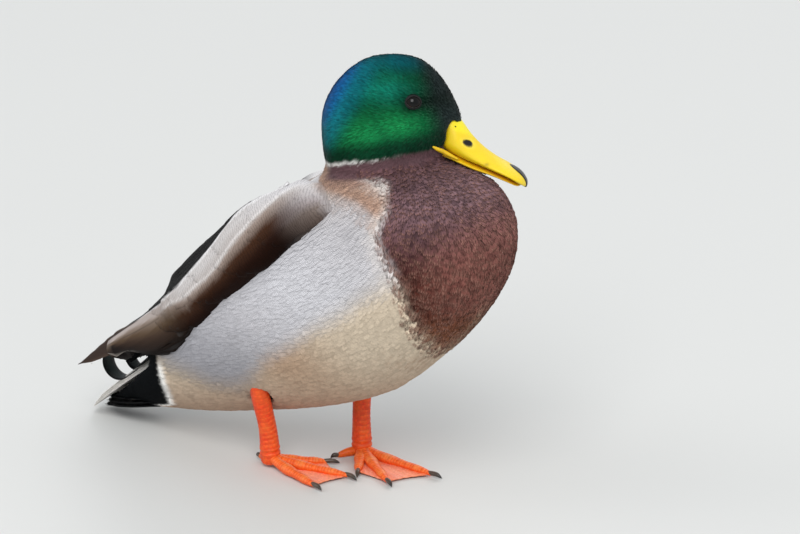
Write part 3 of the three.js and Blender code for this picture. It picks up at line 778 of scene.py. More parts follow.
class Markings:
    """The plumage's colours as a function of the place on the body."""

    # The brown breast's rear border: [z, x]; its lower border in front: [x, z].
    breast_rear = np.array([
        [98, 117], [119, 118], [136, 115], [150, 114], [166, 106], [179, 98], [192, 98], [202, 87], [207, 70],
    ])
    breast_low = np.array([[116, 99], [124, 104], [131, 114], [139, 124], [150, 136]])
    # The front of the black vent: [z, x].
    vent_front = np.array([[12, -106], [16.5, -101.5], [22, -85], [32, -80.5], [57, -80]])
    # The border between the grey flank and the cream belly: [x, z].
    flank_low = np.array([
        [-85, 64], [-50, 60], [-35, 54], [-13, 57], [0, 68], [14, 85], [36, 101], [57, 118], [79, 134],
        [108, 158],
    ])
    # The middle of the sandy band that crosses the shoulder: [x, z].
    sandy_line = np.array([[33, 196], [45, 195.5], [58, 196.5], [75, 195.5], [92, 191]])
    # Half the white ring's height, which closes in front, and its level over the collar: [x, height].
    ring_heights = np.array([[30, 1.0], [60, 0.5], [80, 0.0]])
    ring_levels = np.array([[60, 2.6], [80, 1.2], [95, -0.5], [116, -3.8]])
    # The grey of the flank from low to high: levels, and the colours there.
    grey_levels = (40, 75, 110, 150, 200)
    greys = ("#929196", "#a9a8ad", "#c8c6ca", "#d2d1d5", "#bfbcbe")
    back_slope = 0.62  # how the line of the back rises towards the neck

    def __init__(self) -> None:
        """Sets up the slow noise that breaks up the borders."""
        rng = np.random.default_rng(11)
        self.waves = rng.normal(size=(12, 3)) * 0.11
        self.phases = rng.uniform(0, 2 * math.pi, 12)

    def ripple(self, p: Array) -> Array:
        """A slow noise of about -1 to 1."""
        return np.sin(p @ self.waves.T + self.phases).mean(axis=-1) * 2.2

    def past_vent(self, p: Array) -> Array:
        """How far a place lies before the black of the vent."""
        return p[:, 0] - np.interp(p[:, 2], *self.vent_front.T)

    def past_breast(self, p: Array) -> Array:
        """How far a place lies before the rear border of the brown breast."""
        return p[:, 0] - np.interp(p[:, 2], *self.breast_rear.T)

    def over_breast(self, p: Array) -> Array:
        """How far a place lies over the lower border of the brown breast."""
        return p[:, 2] - np.interp(p[:, 0], *self.breast_low.T)

    def over_flank(self, p: Array) -> Array:
        """How far a place lies over the border between belly and flank."""
        return p[:, 2] - np.interp(p[:, 0], *self.flank_low.T)

    def over_back(self, p: Array) -> Array:
        """The height over a line along the back."""
        return p[:, 2] - self.back_slope * p[:, 0]

    def over_ring(self, p: Array) -> Array:
        """The height over the middle of the white ring, where the green begins."""
        return HEAD.over_collar(p) - np.interp(p[:, 0], *self.ring_levels.T)

    def breast_share(self, p: Array) -> Array:
        """How brown a place is, with a border that frays more the lower it runs.

        Args:
            p: Places in millimetres.

        Returns:
            Shares from 0 to 1.
        """
        z = p[:, 2]
        soft = self.ripple(p * 2.2) * 1.6
        soft = soft + self.ripple(p * 7.1) * ease(185, 150, z) * 2.6
        soft = soft + self.ripple(p * 14) * ease(150, 125, z) * 3
        return ease(-2.5, 2.5, self.past_breast(p) + soft) * ease(-6.0, 6.0, self.over_breast(p) + soft)

    def head_colours(self, p: Array) -> Array:
        """Green, teal and black over the head, with painted highlights and a painted sheen at the back.

        Args:
            p: Places in millimetres.

        Returns:
            A colour for each place.
        """
        t, _, h = HEAD.local(p)
        painted_cheek_highlight = np.maximum(0.8 * hump(t, -14, 16) * hump(h, -10, 10), hump(t, 8, 15) * hump(h, -5, 8))
        painted_rim_sheen = ease(8, 34, -t * 0.8 + h * 0.5)
        colour = layered(
            np.broadcast_to(tint("#094a2c"), p.shape),
            # painted highlight: the brightest green on the cheeks, where the head's sheen catches the light
            ("#1b8d4d", 0.9 * painted_cheek_highlight),
            ("#12806a", 0.8 * hump(t, -2, 16) * hump(h, 15, 7)),  # over the eye
            # painted sheen: teal, then blue, towards the back of the head, where the green turns with the
            # view
            ("#0f6673", 0.9 * ease(0.0, 0.6, painted_rim_sheen)),
            ("#15559a", 0.9 * ease(0.6, 1.0, painted_rim_sheen) * ease(-26, -4, h)),
            ("#085a68", 0.85 * ease(20, 31, h) * ease(-16, 8, t)),  # the crown
            ("#20282a", 0.94 * ease(21, 35, t + 0.3 * h)),  # the face
            ("#0b1a15", 0.85 * hump(h, 7, 5) * ease(4, 14, t)),  # the line through the eye
            ("#0c1c13", 0.85 * ease(-18, -34, h) * ease(-10, 26, t)),  # the chin
            ("#071c16", 0.7 * ease(15, 6, self.over_ring(p))),  # the shade over the ring
        )
        return colour * (1 + 0.1 * self.ripple(p * 1.9))[:, None]

    def chest_colours(self, p: Array) -> Array:
        """Brown over the breast, with a painted highlight where it bulges and a painted sheen under the bill.

        Args:
            p: Places in millimetres.

        Returns:
            A colour for each place.
        """
        x, _, z = p.T
        colour = layered(
            blend(tint("#47231c"), tint("#563b3f"), ease(150, 195, z)),
            # painted highlight: paler and redder where the breast bulges in front
            ("#7d5048", 0.8 * ease(118, 146, x) * ease(110, 130, z) * ease(200, 180, z)),  # in front
            # painted sheen: purplish grey under the bill
            ("#80656a", 0.75 * hump(x, 118, 34) * hump(z, 197, 15)),  # under the bill
            ("#74472f", 0.8 * ease(140, 112, z)),  # low down
        )
        return colour * (1 + 0.16 * self.ripple(p * 1.6))[:, None]

    def body_colours(self, p: Array) -> Array:
        """Grey, cream, brown, sandy, white and black over the trunk.

        Args:
            p: Places in millimetres.

        Returns:
            A colour for each place.
        """
        x, y, z = p.T
        side = np.abs(y)
        warm = self.ripple(p * 0.6)
        grey = WingPlace.ramp(z + 0.25 * x, self.grey_levels, self.greys) * (1 + 0.05 * warm)[:, None]
        cream = blend(tint("#a98d78"), tint("#cbbba5"), ease(24, 84, z - 0.22 * x))
        cream = layered(cream, ("#ac8c72", 0.8 * hump(x, 26, 40) * hump(z, 84, 26)))
        border = self.over_flank(p) + 2.5 * warm
        pale = hump(self.past_breast(p), -5, 4.5) * ease(140, 172, z) + ease(196, 201, z) * ease(30, 62, x)
        streak = z - np.interp(x, *self.sandy_line.T)
        wedge = ease(-7.0, -5.4, HEAD.over_collar(p) + 0.04 * (x - 40)) * ease(36, 46, x)
        colour = layered(
            blend(cream, grey, ease(-14, 9, border) * ease(8, 26, side)),
            ("#b5a89f", ease(48, 30, side) * ease(125, 150, z)),  # the mantle
            ("#ded6d0", 0.85 * np.minimum(pale, 1)),
            ("#a8836c", 0.9 * ease(7, 3, np.abs(streak + 0.8 * warm)) * ease(12, 30, x) * ease(99, 90, x)),
        )
        colour = blend(colour, self.chest_colours(p), np.maximum(self.breast_share(p), wedge))
        mottles = ease(0.0, 0.9, self.ripple(p * 9) + self.ripple(p * 15)) * ease(84, 100, x)
        colour = layered(colour, ("#84593f", 0.6 * mottles * hump(self.over_breast(p), -7, 10)))
        # painted shadow: the colour is darkened under the flank's lower border, above the leg
        fold = hump(border, -7, 4) * ease(8, -12, x) * ease(16, 26, side)
        vent, top = self.past_vent(p) + 0.7 * warm, self.over_back(p)
        rump = ease(46, 38, side) * ease(12, -6, x) * ease(88, 98, top - 0.8 * side)
        return layered(
            colour * (1 - 0.2 * fold)[:, None],
            ("#f0eeea", ease(6.5, 1.5, vent) * ease(70, 60, z) * ease(108, 98, top)),  # the vent's fringe
            ("#07090b", np.maximum(ease(0.8, -0.8, vent), rump)),
        )

    def colours(self, p: Array) -> Array:
        """The colour of the whole bird.

        Args:
            p: Places in millimetres.

        Returns:
            A colour for each place.
        """
        over = self.over_ring(p)
        half = np.interp(p[:, 0], *self.ring_heights.T)
        colour = blend(self.body_colours(p), self.head_colours(p), ease(-0.3, 0.3, over - half))
        return layered(colour, ("#f2efea", ease(0.3, -0.2, np.abs(over) - half) * ease(86, 76, p[:, 0])))


MARKINGS = Markings()


# ---- Skin ----


class Lie:
    """The way that the feathers point at each place of the skin."""

    crop = np.array([74.0, 0.0, 224.0])  # the trunk's feathers run away from here
    vent = np.array([-150.0, 0.0, 22.0])  # and towards here

    def directions(self, p: Array, normals: Array) -> Array:
        """Unit vectors along the skin.

        Args:
            p: Places in millimetres.
            normals: The skin's normals there.

        Returns:
            The way from each feather's root to its tip.
        """
        out, home = p - self.crop, self.vent - p
        near = np.linalg.norm(out, axis=1, keepdims=True)
        far = np.linalg.norm(home, axis=1, keepdims=True)
        trunk = unit(out) * (70 / (near + 35)) + unit(home) * (110 / (far + 60))
        base = HEAD.world(44, 0, -14)
        head = unit(p - base)
        drop = ease(6, -22, HEAD.local(p)[2])
        head = blend(head, np.array([-0.25, 0.0, -1.0]), 0.55 * drop)
        ways = blend(trunk, head, ease(-6, 8, HEAD.over_collar(p)))
        ways = ways - normals * np.sum(ways * normals, axis=1, keepdims=True)
        return unit(ways)


class Form:
    """A smooth surface made of frame nodes, on which large feathers are laid."""

    paring = 3.8  # how far the inner edge of a folded wing sinks into the back
    tuck_depth = 2.2

    def __init__(self, made: Thing) -> None:
        """Takes a mesh object."""
        self.object = made
        self.read()

    def read(self) -> None:
        """Reads the surface as it now is."""
        mesh = self.object.data
        self.points = positions(mesh)
        self.normals = point_normals(mesh)
        self.tree = BVHTree.FromPolygons(self.points.tolist(), [tuple(f.vertices) for f in mesh.polygons])

    def settle(self, places: Array) -> tuple[Array, Array]:
        """The nearest places on the surface and the ways that it faces there.

        Args:
            places: Places in millimetres, in an array of any shape (..., 3).

        Returns:
            The spots and the unit ways, in arrays of the same shape.
        """
        flat = places.reshape(-1, 3)
        spots, ways = np.empty_like(flat), np.empty_like(flat)
        for i, place in enumerate(flat):
            spot, _, face, _ = self.tree.find_nearest(Vector(place))
            corners = list(self.object.data.polygons[face].vertices)
            near = 1 / (np.linalg.norm(self.points[corners] - np.array(spot), axis=1) + 0.05)
            spots[i] = spot
            ways[i] = near @ self.normals[corners]
        return spots.reshape(places.shape), unit(ways).reshape(places.shape)

    def tuck(self, under: "Form") -> None:
        """Bends the surface down under another one, except where the folded wings lie.

        Args:
            under: The surface below.
        """
        spots, ways = under.settle(self.points)
        sunk, pared = np.ones(len(self.points)), np.zeros(len(self.points))
        for side in Side:
            s, v = WingPlace(side).shares(self.points)
            low = v - np.interp(s, *WingPlace.low_edge.T)
            edge = np.maximum.reduce([ease(-0.07, 0.07, low), ease(-0.3, -0.38, v), ease(0.05, -0.07, s)])
            inner = ease(0.12, -0.1, v) * ease(0.18, 0.55, s) * ease(1.0, 0.76, s)
            own = self.points[:, 1] * side.value > 0
            sunk, pared = np.where(own, edge, sunk), np.where(own, self.paring * inner, pared)
        mesh = self.object.data
        points = blend(self.points, spots - self.tuck_depth * ways, sunk) - self.normals * pared[:, None]
        move_points(mesh, averaged(mesh, points, 3))
        self.read()

    def distances(self, places: Array) -> Array:
        """How far each place is outside the surface; negative inside.

        Args:
            places: Places in millimetres, one in each row.

        Returns:
            One distance for each place.
        """
        far = np.empty(len(places))
        for i, place in enumerate(places):
            spot, way, _, gap = self.tree.find_nearest(Vector(place))
            far[i] = math.copysign(gap, (Vector(place) - spot).dot(way))
        return far

    def lay(
        self, line: Array, width: float, shape: "VaneShape", lift: tuple[float, float],
        tilt: float = 0.0, columns: int = 9, camber: float = 0.5, sink: float = 0.0,
    ) -> tuple[Array, Array]:
        """Lays a vane along a line over the surface.

        Args:
            line: The shaft from root to tip.
            width: The vane's full width.
            shape: How the width runs.
            lift: The height of the root and of the tip over the surface.
            tilt: How far the left edge stands over the right.
            columns: How many points lie across the vane.
            camber: How far the shaft stands over the edges.
            sink: How far the edges bend down further.

        Returns:
            The grid of points, and the way up at each.
        """
        spots, ways = self.settle(line)
        side = unit(np.cross(ways, np.gradient(spots, axis=0)))
        f, g = lattice(len(line), columns)
        reach = 0.5 * width * shape.width(f) * g
        spots, ways = self.settle(spots[:, None] + side[:, None] * reach[..., None])
        ways[1:-1] = unit(ways[:-2] + 2 * ways[1:-1] + ways[2:])
        ways[:, 1:-1] = unit(ways[:, :-2] + 2 * ways[:, 1:-1] + ways[:, 2:])
        height = lift[0] + (lift[1] - lift[0]) * f + tilt * g + camber * (1 - g**2) - sink * g**4
        return spots + ways * height[..., None], ways

    def drop(self) -> None:
        """Removes the surface from the scene."""
        bpy.data.objects.remove(self.object)


@dataclass
class Skin:
    """The skin under the plumage, and what the plumage needs to know about it."""

    voxel: float = 1.9
    rounds: int = 9
    depth_body: float = 1.7
    depth_head: float = 0.9
    arch_radius: float = 8.5  # the opening in the flank that shows the top of each leg
    vane_repeat: float = 0.13  # how often the barbs' map repeats on the bare skin, per millimetre
    nodes: tuple[str, ...] = ("torso", "rump", "neck", "head")
    axis: tuple[Point, ...] = (
        (-145, 0, 18), (-95, 0, 45), (-30, 0, 88), (35, 0, 118), (75, 0, 160), (66, 2, 200), (63, 5, 237),
        (62, 5, 275),
    )
    swells: tuple[tuple[Point, float], ...] = (((107.0, 36.0, 187.0), 6.6), ((107.0, -36.0, 187.0), 2.5))
    swell_reach: Point = (34, 26, 24)
    arch_start: Point = (-1.0, 5.0, 43.0)  # from the leg's middle, outwards and up from the floor
    arch_run: Point = (10.0, 24.0, 9.0)

    def build(self) -> None:
        """Makes the skin and stores its fields on its points."""
        filled = (*self.nodes, "eye_right", "eye_left")
        self.object = fused(filled, "skin", self.voxel, self.rounds)
        mesh = self.object.data
        points = positions(mesh)
        normals = unit(averaged(mesh, point_normals(mesh), 4))
        points = self.puffed(points, normals)
        on_head = ease(-4, 6, HEAD.over_collar(points))
        depth = self.depth_body + (self.depth_head - self.depth_body) * on_head
        points = self.open_arches(points - normals * depth[:, None])
        move_points(mesh, points)
        self.points = points
        self.normals = unit(averaged(mesh, point_normals(mesh), 6))
        self.lie = Lie().directions(points, self.normals)
        store(mesh, "up", "FLOAT_VECTOR", self.normals)
        store(mesh, "lie", "FLOAT_VECTOR", self.lie)
        store(mesh, "plumage", "FLOAT_COLOR", colours_with_alpha(MARKINGS.colours(points)))
        self.form = Form(self.object)
        self.unwrap()
        smooth_shaded(self.object)

    def puffed(self, points: Array, normals: Array) -> Array:
        """Swells the top of the breast, on which the bill rests.

        Args:
            points: The skin's points.
            normals: The ways that it faces.

        Returns:
            The points of the swollen skin.
        """
        for spot, most in self.swells:
            away = np.linalg.norm((points - spot) / self.swell_reach, axis=1)
            points = points + normals * (most * np.exp(-away**2))[:, None]
        return points

    def open_arches(self, points: Array) -> Array:
        """Pushes the skin aside from a tunnel over the outer side of each leg.

        Args:
            points: The skin's points.

        Returns:
            The points of the opened skin.
        """
        for side in Side:
            mirror = np.array([1, side.value, 1])
            leg = node_centre(f"leg_{side.word}") * [1, 1, 0]
            start, run = leg + mirror * self.arch_start, mirror * self.arch_run
            share = np.clip((points - start) @ run / (run @ run), 0, 1)
            away = points - (start + share[:, None] * run)
            gap = np.linalg.norm(away, axis=1)
            push = np.maximum(self.arch_radius - gap, 0) * ease(
                self.arch_radius * 1.2, self.arch_radius * 0.4, gap,
            )
            points = points + unit(away + [0, 0, 2.0]) * push[:, None]
        return points

    def unwrap(self) -> None:
        """Lays the skin out round its own bent middle line: turn across, distance along."""
        axis = spline(self.axis, np.linspace(0, 1, 200))
        tree = KDTree(len(axis))
        for i, spot in enumerate(axis):
            tree.insert(Vector(spot), i)
        tree.balance()
        nearest = np.array([tree.find(Vector(p))[1] for p in self.points])
        run = np.gradient(axis, axis=0)[nearest]
        away = self.points - axis[nearest]
        up = unit(np.cross(run, LEFTWARDS))
        turn = np.arctan2(away @ LEFTWARDS, np.sum(away * up, axis=1))
        along = (nearest + np.sum(away * unit(run), axis=1) / np.linalg.norm(run, axis=1)) / len(axis)
        mesh = self.object.data
        corners = corner_points(mesh)
        starts = np.empty(len(mesh.polygons), np.int32)
        mesh.polygons.foreach_get("loop_start", starts)
        sizes = np.diff(np.append(starts, len(corners)))
        first = np.repeat(turn[corners[starts]], sizes)
        full = 2 * math.pi
        turned = first + (turn[corners] - first + math.pi) % full - math.pi
        self.places = np.stack([turn / full + 0.5, along], axis=1)
        flat = np.stack([turned / full + 0.5, along[corners]], axis=1)
        store(mesh, "unwrap", "FLOAT2", flat, "CORNER")

    def dress(self, finish: Material) -> None:
        """Gives the skin its finish and lets it stand for the flesh nodes.

        Args:
            finish: The finish.
        """
        mesh = self.object.data
        mesh.materials.clear()
        mesh.materials.append(finish)
        mesh.uv_layers.new(name="vane")
        tiled = self.points[:, :2] * self.vane_repeat % 1
        store(mesh, "vane", "FLOAT2", tiled[corner_points(mesh)], "CORNER")
        store(mesh, "tone", "FLOAT", np.full(len(self.points), 0.5))
        mount(self.object, "body_plumage", *self.nodes)


# ---- Small feathers ----


class VaneShape(Enum):
    """How a vane's width runs from its root to its tip."""

    POINTED = "pointed"
    ROUNDED = "rounded"
    BLADE = "blade"
    TUFT = "tuft"

    def width(self, f: Array) -> Array:
        """The share of the full width at each share of the length.

        Args:
            f: Shares of the length, from the root to the tip.

        Returns:
            Shares of the full width.
        """
        root, grow, start, span, power, least = {
            VaneShape.POINTED: (0.55, 1.0, 0.42, 0.6, 2, 0),
            VaneShape.ROUNDED: (0.55, 0.9, 0.66, 0.345, 2.4, 0),
            VaneShape.BLADE: (0.7, 0.6, 0.55, 0.5, 1.7, 0.02),
            VaneShape.TUFT: (0.5, 1.1, 0.5, 0.52, 2, 0.06),
        }[self]
        taper = np.clip(1 - np.maximum(0, (f - start) / span) ** power, least, 1)
        return np.minimum(root + grow * f, 1) * (taper if self is VaneShape.BLADE else np.sqrt(taper))


@dataclass(frozen=True)
class SmallFeather:
    """One small feather that lies flat, with its height over the skin as an attribute."""

    name: str
    length: float
    width: float
    rise: float  # the height of its tip over the skin
    rows: int = 5
    columns: int = 4
    ragged: float = 0.1  # how deep the tip is split into barbs
    camber: float = 0.25
    twist: float = 0.12  # how far its left edge stands over the right at the tip
    shape: VaneShape = VaneShape.TUFT

    def build(self) -> Thing:
        """Makes the feather that the coat repeats; it isn't shown itself.

        Returns:
            The feather, in no scene.
        """
        across = np.linspace(-1, 1, self.columns + 1)
        f, g = np.meshgrid(np.linspace(0, 1, self.rows + 1), across, indexing="ij")
        teeth = np.arange(self.columns + 1) % 2
        split = self.ragged * teeth * ease(0.7, 1.0, f)
        x = self.length * (f - split + 0.06 * (1 - g**2) * ease(0.6, 1, f))
        y = 0.5 * self.width * g * self.shape.width(f)
        height = self.rise * f**1.2 + self.camber * (1 - g**2) * np.sin(math.pi * f) - 0.2 * (1 - f)
        height = height + self.twist * g * f
        patch = Patchwork()
        patch.add(np.stack([x, y, np.zeros_like(x)], axis=-1), np.ones(3))
        blank = bpy.data.materials.get("feather_blank") or bpy.data.materials.new("feather_blank")
        made = patch.build(self.name, blank)
        mesh = made.data
        for extra in ("plumage", "tone"):
            mesh.attributes.remove(mesh.attributes[extra])
        store(mesh, "height", "FLOAT", height.ravel() * MM)
        mesh.materials.clear()
        bpy.context.scene.collection.objects.unlink(made)
        return made


class CoatTree(NodeWriter):
    """The node tree that sows one feather over a skin and lays every copy down along it."""

    density = 3.0e6  # the most roots for each square metre, before they are spaced

    def __init__(self) -> None:
        """Builds the tree once; each coat gives it its own inputs."""
        self.group = bpy.data.node_groups.new("feather_coat", "GeometryNodeTree")
        super().__init__(self.group)
        face = self.group.interface
        for name, kind in (
            ("Skin", "Geometry"), ("Feather", "Object"), ("Tract", "String"), ("Spacing", "Float"),
            ("Smallest", "Float"), ("Largest", "Float"), ("Yaw", "Float"), ("Seed", "Int"),
            ("Map low", "Vector"), ("Map scale", "Vector"), ("Paint", "Float"), ("Finish", "Material"),
        ):
            face.new_socket(name, in_out="INPUT", socket_type=f"NodeSocket{kind}")
        face.new_socket("Coat", in_out="OUTPUT", socket_type="NodeSocketGeometry")
        self.start = self.node("NodeGroupInput")
        self.wire()

    def given(self, name: str) -> Socket:
        """One of the tree's inputs."""
        return self.start.outputs[name]

    def named(self, name: str | Socket, kind: str) -> Socket:
        """An attribute of the geometry, by name."""
        made = self.node("GeometryNodeInputNamedAttribute", {"Name": name}, data_type=kind)
        return made.outputs["Attribute"]

    def vector(self, operation: str, first: Socket, second: object) -> Socket:
        """One step of vector arithmetic; a number as second scales."""
        feeds = {0: first, "Scale" if operation == "SCALE" else 1: second}
        return self.node("ShaderNodeVectorMath", feeds, operation=operation).outputs[0]

    def scalar(self, operation: str, *values: object) -> Socket:
        """One step of arithmetic."""
        return self.node("ShaderNodeMath", dict(enumerate(values)), operation=operation).outputs[0]

    def draw(self, low: object, high: object, offset: int) -> Socket:
        """Draws a random number for each feather.

        Args:
            low: The least that it may be.
            high: The most that it may be.
            offset: What is added to the seed, so that two draws differ.

        Returns:
            The number's socket.
        """
        seed = self.scalar("ADD", self.given("Seed"), float(offset))
        made = self.node("FunctionNodeRandomValue", {"Seed": seed}, data_type="FLOAT")
        for socket, value in zip((s for s in made.inputs if s.type == "VALUE"), (low, high)):
            self.feed(socket, value)
        return next(s for s in made.outputs if s.type == "VALUE")

    def keep(self, geometry: Socket, name: str, kind: str, domain: str, value: Socket) -> Socket:
        """Stores a value as a named attribute."""
        feeds = {"Geometry": geometry, "Name": name, "Value": value}
        return self.node("GeometryNodeStoreNamedAttribute", feeds, data_type=kind, domain=domain).outputs[0]

    def under(self, name: str, kind: str) -> Socket:
        """An attribute of the skin at the place nearest to each point.

        Args:
            name: The attribute's name.
            kind: Its data type.

        Returns:
            Its socket.
        """
        made = self.node("GeometryNodeSampleNearestSurface", {"Mesh": self.given("Skin")}, data_type=kind)
        self.feed(next(s for s in made.inputs if s.name == "Value" and s.enabled), self.named(name, kind))
        return next(s for s in made.outputs if s.enabled)

    def sown(self) -> Socket:
        """Sows the feathers' roots as points on the skin.

        Returns:
            The points.
        """
        sow = self.node("GeometryNodeDistributePointsOnFaces", {}, distribute_method="POISSON")
        for name, value in {
            "Mesh": self.given("Skin"), "Distance Min": self.given("Spacing"), "Density Max": self.density,
            "Density Factor": self.named(self.given("Tract"), "FLOAT"), "Seed": self.given("Seed"),
        }.items():
            self.feed(sow.inputs[name], value)
        return self.keep(sow.outputs["Points"], "tone", "FLOAT", "POINT", self.draw(0.0, 1.0, 1))

    def planted(self, points: Socket) -> Socket:
        """Stands a feather on each point, turned along the lie of the coat.

        Args:
            points: The feathers' roots.

        Returns:
            The feathers as real geometry.
        """
        axes = {
            "Primary Axis": self.named("up", "FLOAT_VECTOR"),
            "Secondary Axis": self.named("lie", "FLOAT_VECTOR"),
        }
        way = self.node("FunctionNodeAxesToRotation", axes, primary_axis="Z", secondary_axis="X")
        least = self.scalar("MULTIPLY", self.given("Yaw"), -1.0)
        turn = self.node("ShaderNodeCombineXYZ", {"Z": self.draw(least, self.given("Yaw"), 2)})
        euler = self.node("FunctionNodeEulerToRotation", {0: turn.outputs[0]})
        turns = {"Rotation": way.outputs[0], "Rotate By": euler.outputs[0]}
        rotation = self.node("FunctionNodeRotateRotation", turns, rotation_space="LOCAL").outputs[0]
        size = self.draw(self.given("Smallest"), self.given("Largest"), 3)
        size = self.scalar("MULTIPLY", size, self.named("size", "FLOAT"))
        info = self.node("GeometryNodeObjectInfo", {"Object": self.given("Feather"), "As Instance": True})
        plant = self.node("GeometryNodeInstanceOnPoints", {
            "Points": points, "Instance": info.outputs["Geometry"], "Rotation": rotation, "Scale": size,
        })
        return self.node("GeometryNodeRealizeInstances", {0: plant.outputs[0]}).outputs[0]

    def laid(self, geometry: Socket) -> Socket:
        """Bends every feather to the skin, at its own height over it.

        Args:
            geometry: The feathers.

        Returns:
            The laid feathers.
        """
        near = self.node("GeometryNodeProximity", {0: self.given("Skin")}, target_element="FACES")
        gain = self.scalar("MULTIPLY_ADD", self.named("tone", "FLOAT"), 0.7, 0.65)
        height = self.scalar("MULTIPLY", self.named("height", "FLOAT"), gain)
        height = self.scalar("ADD", height, self.named("raise", "FLOAT"))
        lift = self.vector("SCALE", self.under("up", "FLOAT_VECTOR"), height)
        spot = self.vector("ADD", near.outputs["Position"], lift)
        return self.node("GeometryNodeSetPosition", {"Geometry": geometry, "Position": spot}).outputs[0]

    def painted(self, geometry: Socket) -> Socket:
        """Mixes the colour of the place under each point into that of its feather's root.

        Args:
            geometry: The feathers.

        Returns:
            The coloured feathers.
        """
        own, under = self.named("plumage", "FLOAT_COLOR"), self.under("plumage", "FLOAT_COLOR")
        mix = self.node("ShaderNodeMix", {}, data_type="RGBA")
        for number, value in {0: self.given("Paint"), 6: own, 7: under}.items():
            self.feed(mix.inputs[number], value)
        return self.keep(geometry, "plumage", "FLOAT_COLOR", "POINT", mix.outputs[2])

    def wire(self) -> None:
        """Joins the stages, from the bare skin to the finished coat."""
        geometry = self.painted(self.laid(self.planted(self.sown())))
        root = self.vector("SUBTRACT", self.named("unwrap", "FLOAT_VECTOR"), self.given("Map low"))
        root = self.vector("MULTIPLY", root, self.given("Map scale"))
        local = self.vector("SUBTRACT", self.named("vane", "FLOAT_VECTOR"), (0.5, 0.5, 0.0))
        patch = self.vector("ADD", root, self.vector("SCALE", local, PATCH))
        geometry = self.keep(geometry, "OFBake", "FLOAT2", "CORNER", patch)
        finish = self.node(
            "GeometryNodeSetMaterial", {"Geometry": geometry, "Material": self.given("Finish")},
        )
        self.node("NodeGroupOutput", {0: finish.outputs[0]})


@dataclass(frozen=True)
class Tract:
    """One region of small feathers."""

    name: str
    slot: str
    feather: SmallFeather
    finish: PlumageFinish
    spacing: float
    where: Callable[[Array], Array]
    smallest: float = 0.85
    largest: float = 1.15
    yaw: float = 0.16
    seed: int = 1
    paint: float = 0.5  # how far the place, not the root, gives the colour
    size: Callable[[Array], Array] | None = None
    margin: float = 0.01  # the border left free round the bake map

    def grow(self, skin: Skin, tree: CoatTree, bare: Array, raised: Array) -> Thing:
        """Covers the tract with feathers.

        Args:
            skin: The skin that carries them.
            tree: The tree that sows and lays them.
            bare: A share for each skin point, 0 where nothing may grow.
            raised: How far the feathers stand over each skin point.

        Returns:
            The coat's mesh object.
        """
        mask = self.where(skin.points) * bare
        size = self.size(skin.points) if self.size else np.ones(len(skin.points))
        source = placed(skin.object.data.copy(), self.name + "_source")
        store(source.data, "tract", "FLOAT", mask)
        store(source.data, "size", "FLOAT", size * (1 - 0.4 * ease(0.1, 1.2, raised)))
        store(source.data, "raise", "FLOAT", raised * MM)
        inside = skin.places[mask > 0.5]
        low, high = inside.min(axis=0) - self.margin, inside.max(axis=0) + self.margin
        scale = (1 - 2 * self.margin) / (high - low)
        feather = self.feather.build()
        modifier = source.modifiers.new("Coat", "NODES")
        modifier.node_group = tree.group
        given = {
            "Feather": feather, "Tract": "tract", "Spacing": self.spacing * MM, "Seed": self.seed,
            "Smallest": self.smallest, "Largest": self.largest, "Yaw": self.yaw, "Paint": self.paint,
            "Map low": (*(low - self.margin / scale), 0.0), "Map scale": (*scale, 0.0),
            "Finish": self.finish.build(),
        }
        for socket in tree.group.interface.items_tree:
            if socket.in_out == "INPUT" and socket.name in given:
                modifier[socket.identifier] = given[socket.name]
        made = evaluated(source, self.name)
        for extra in ("lie", "up", "unwrap", "tract", "size", "raise", "height"):
            found = made.data.attributes.get(extra)
            if found:
                made.data.attributes.remove(found)
        bpy.data.objects.remove(feather)
        mount(made, self.slot)
        return smooth_shaded(made)


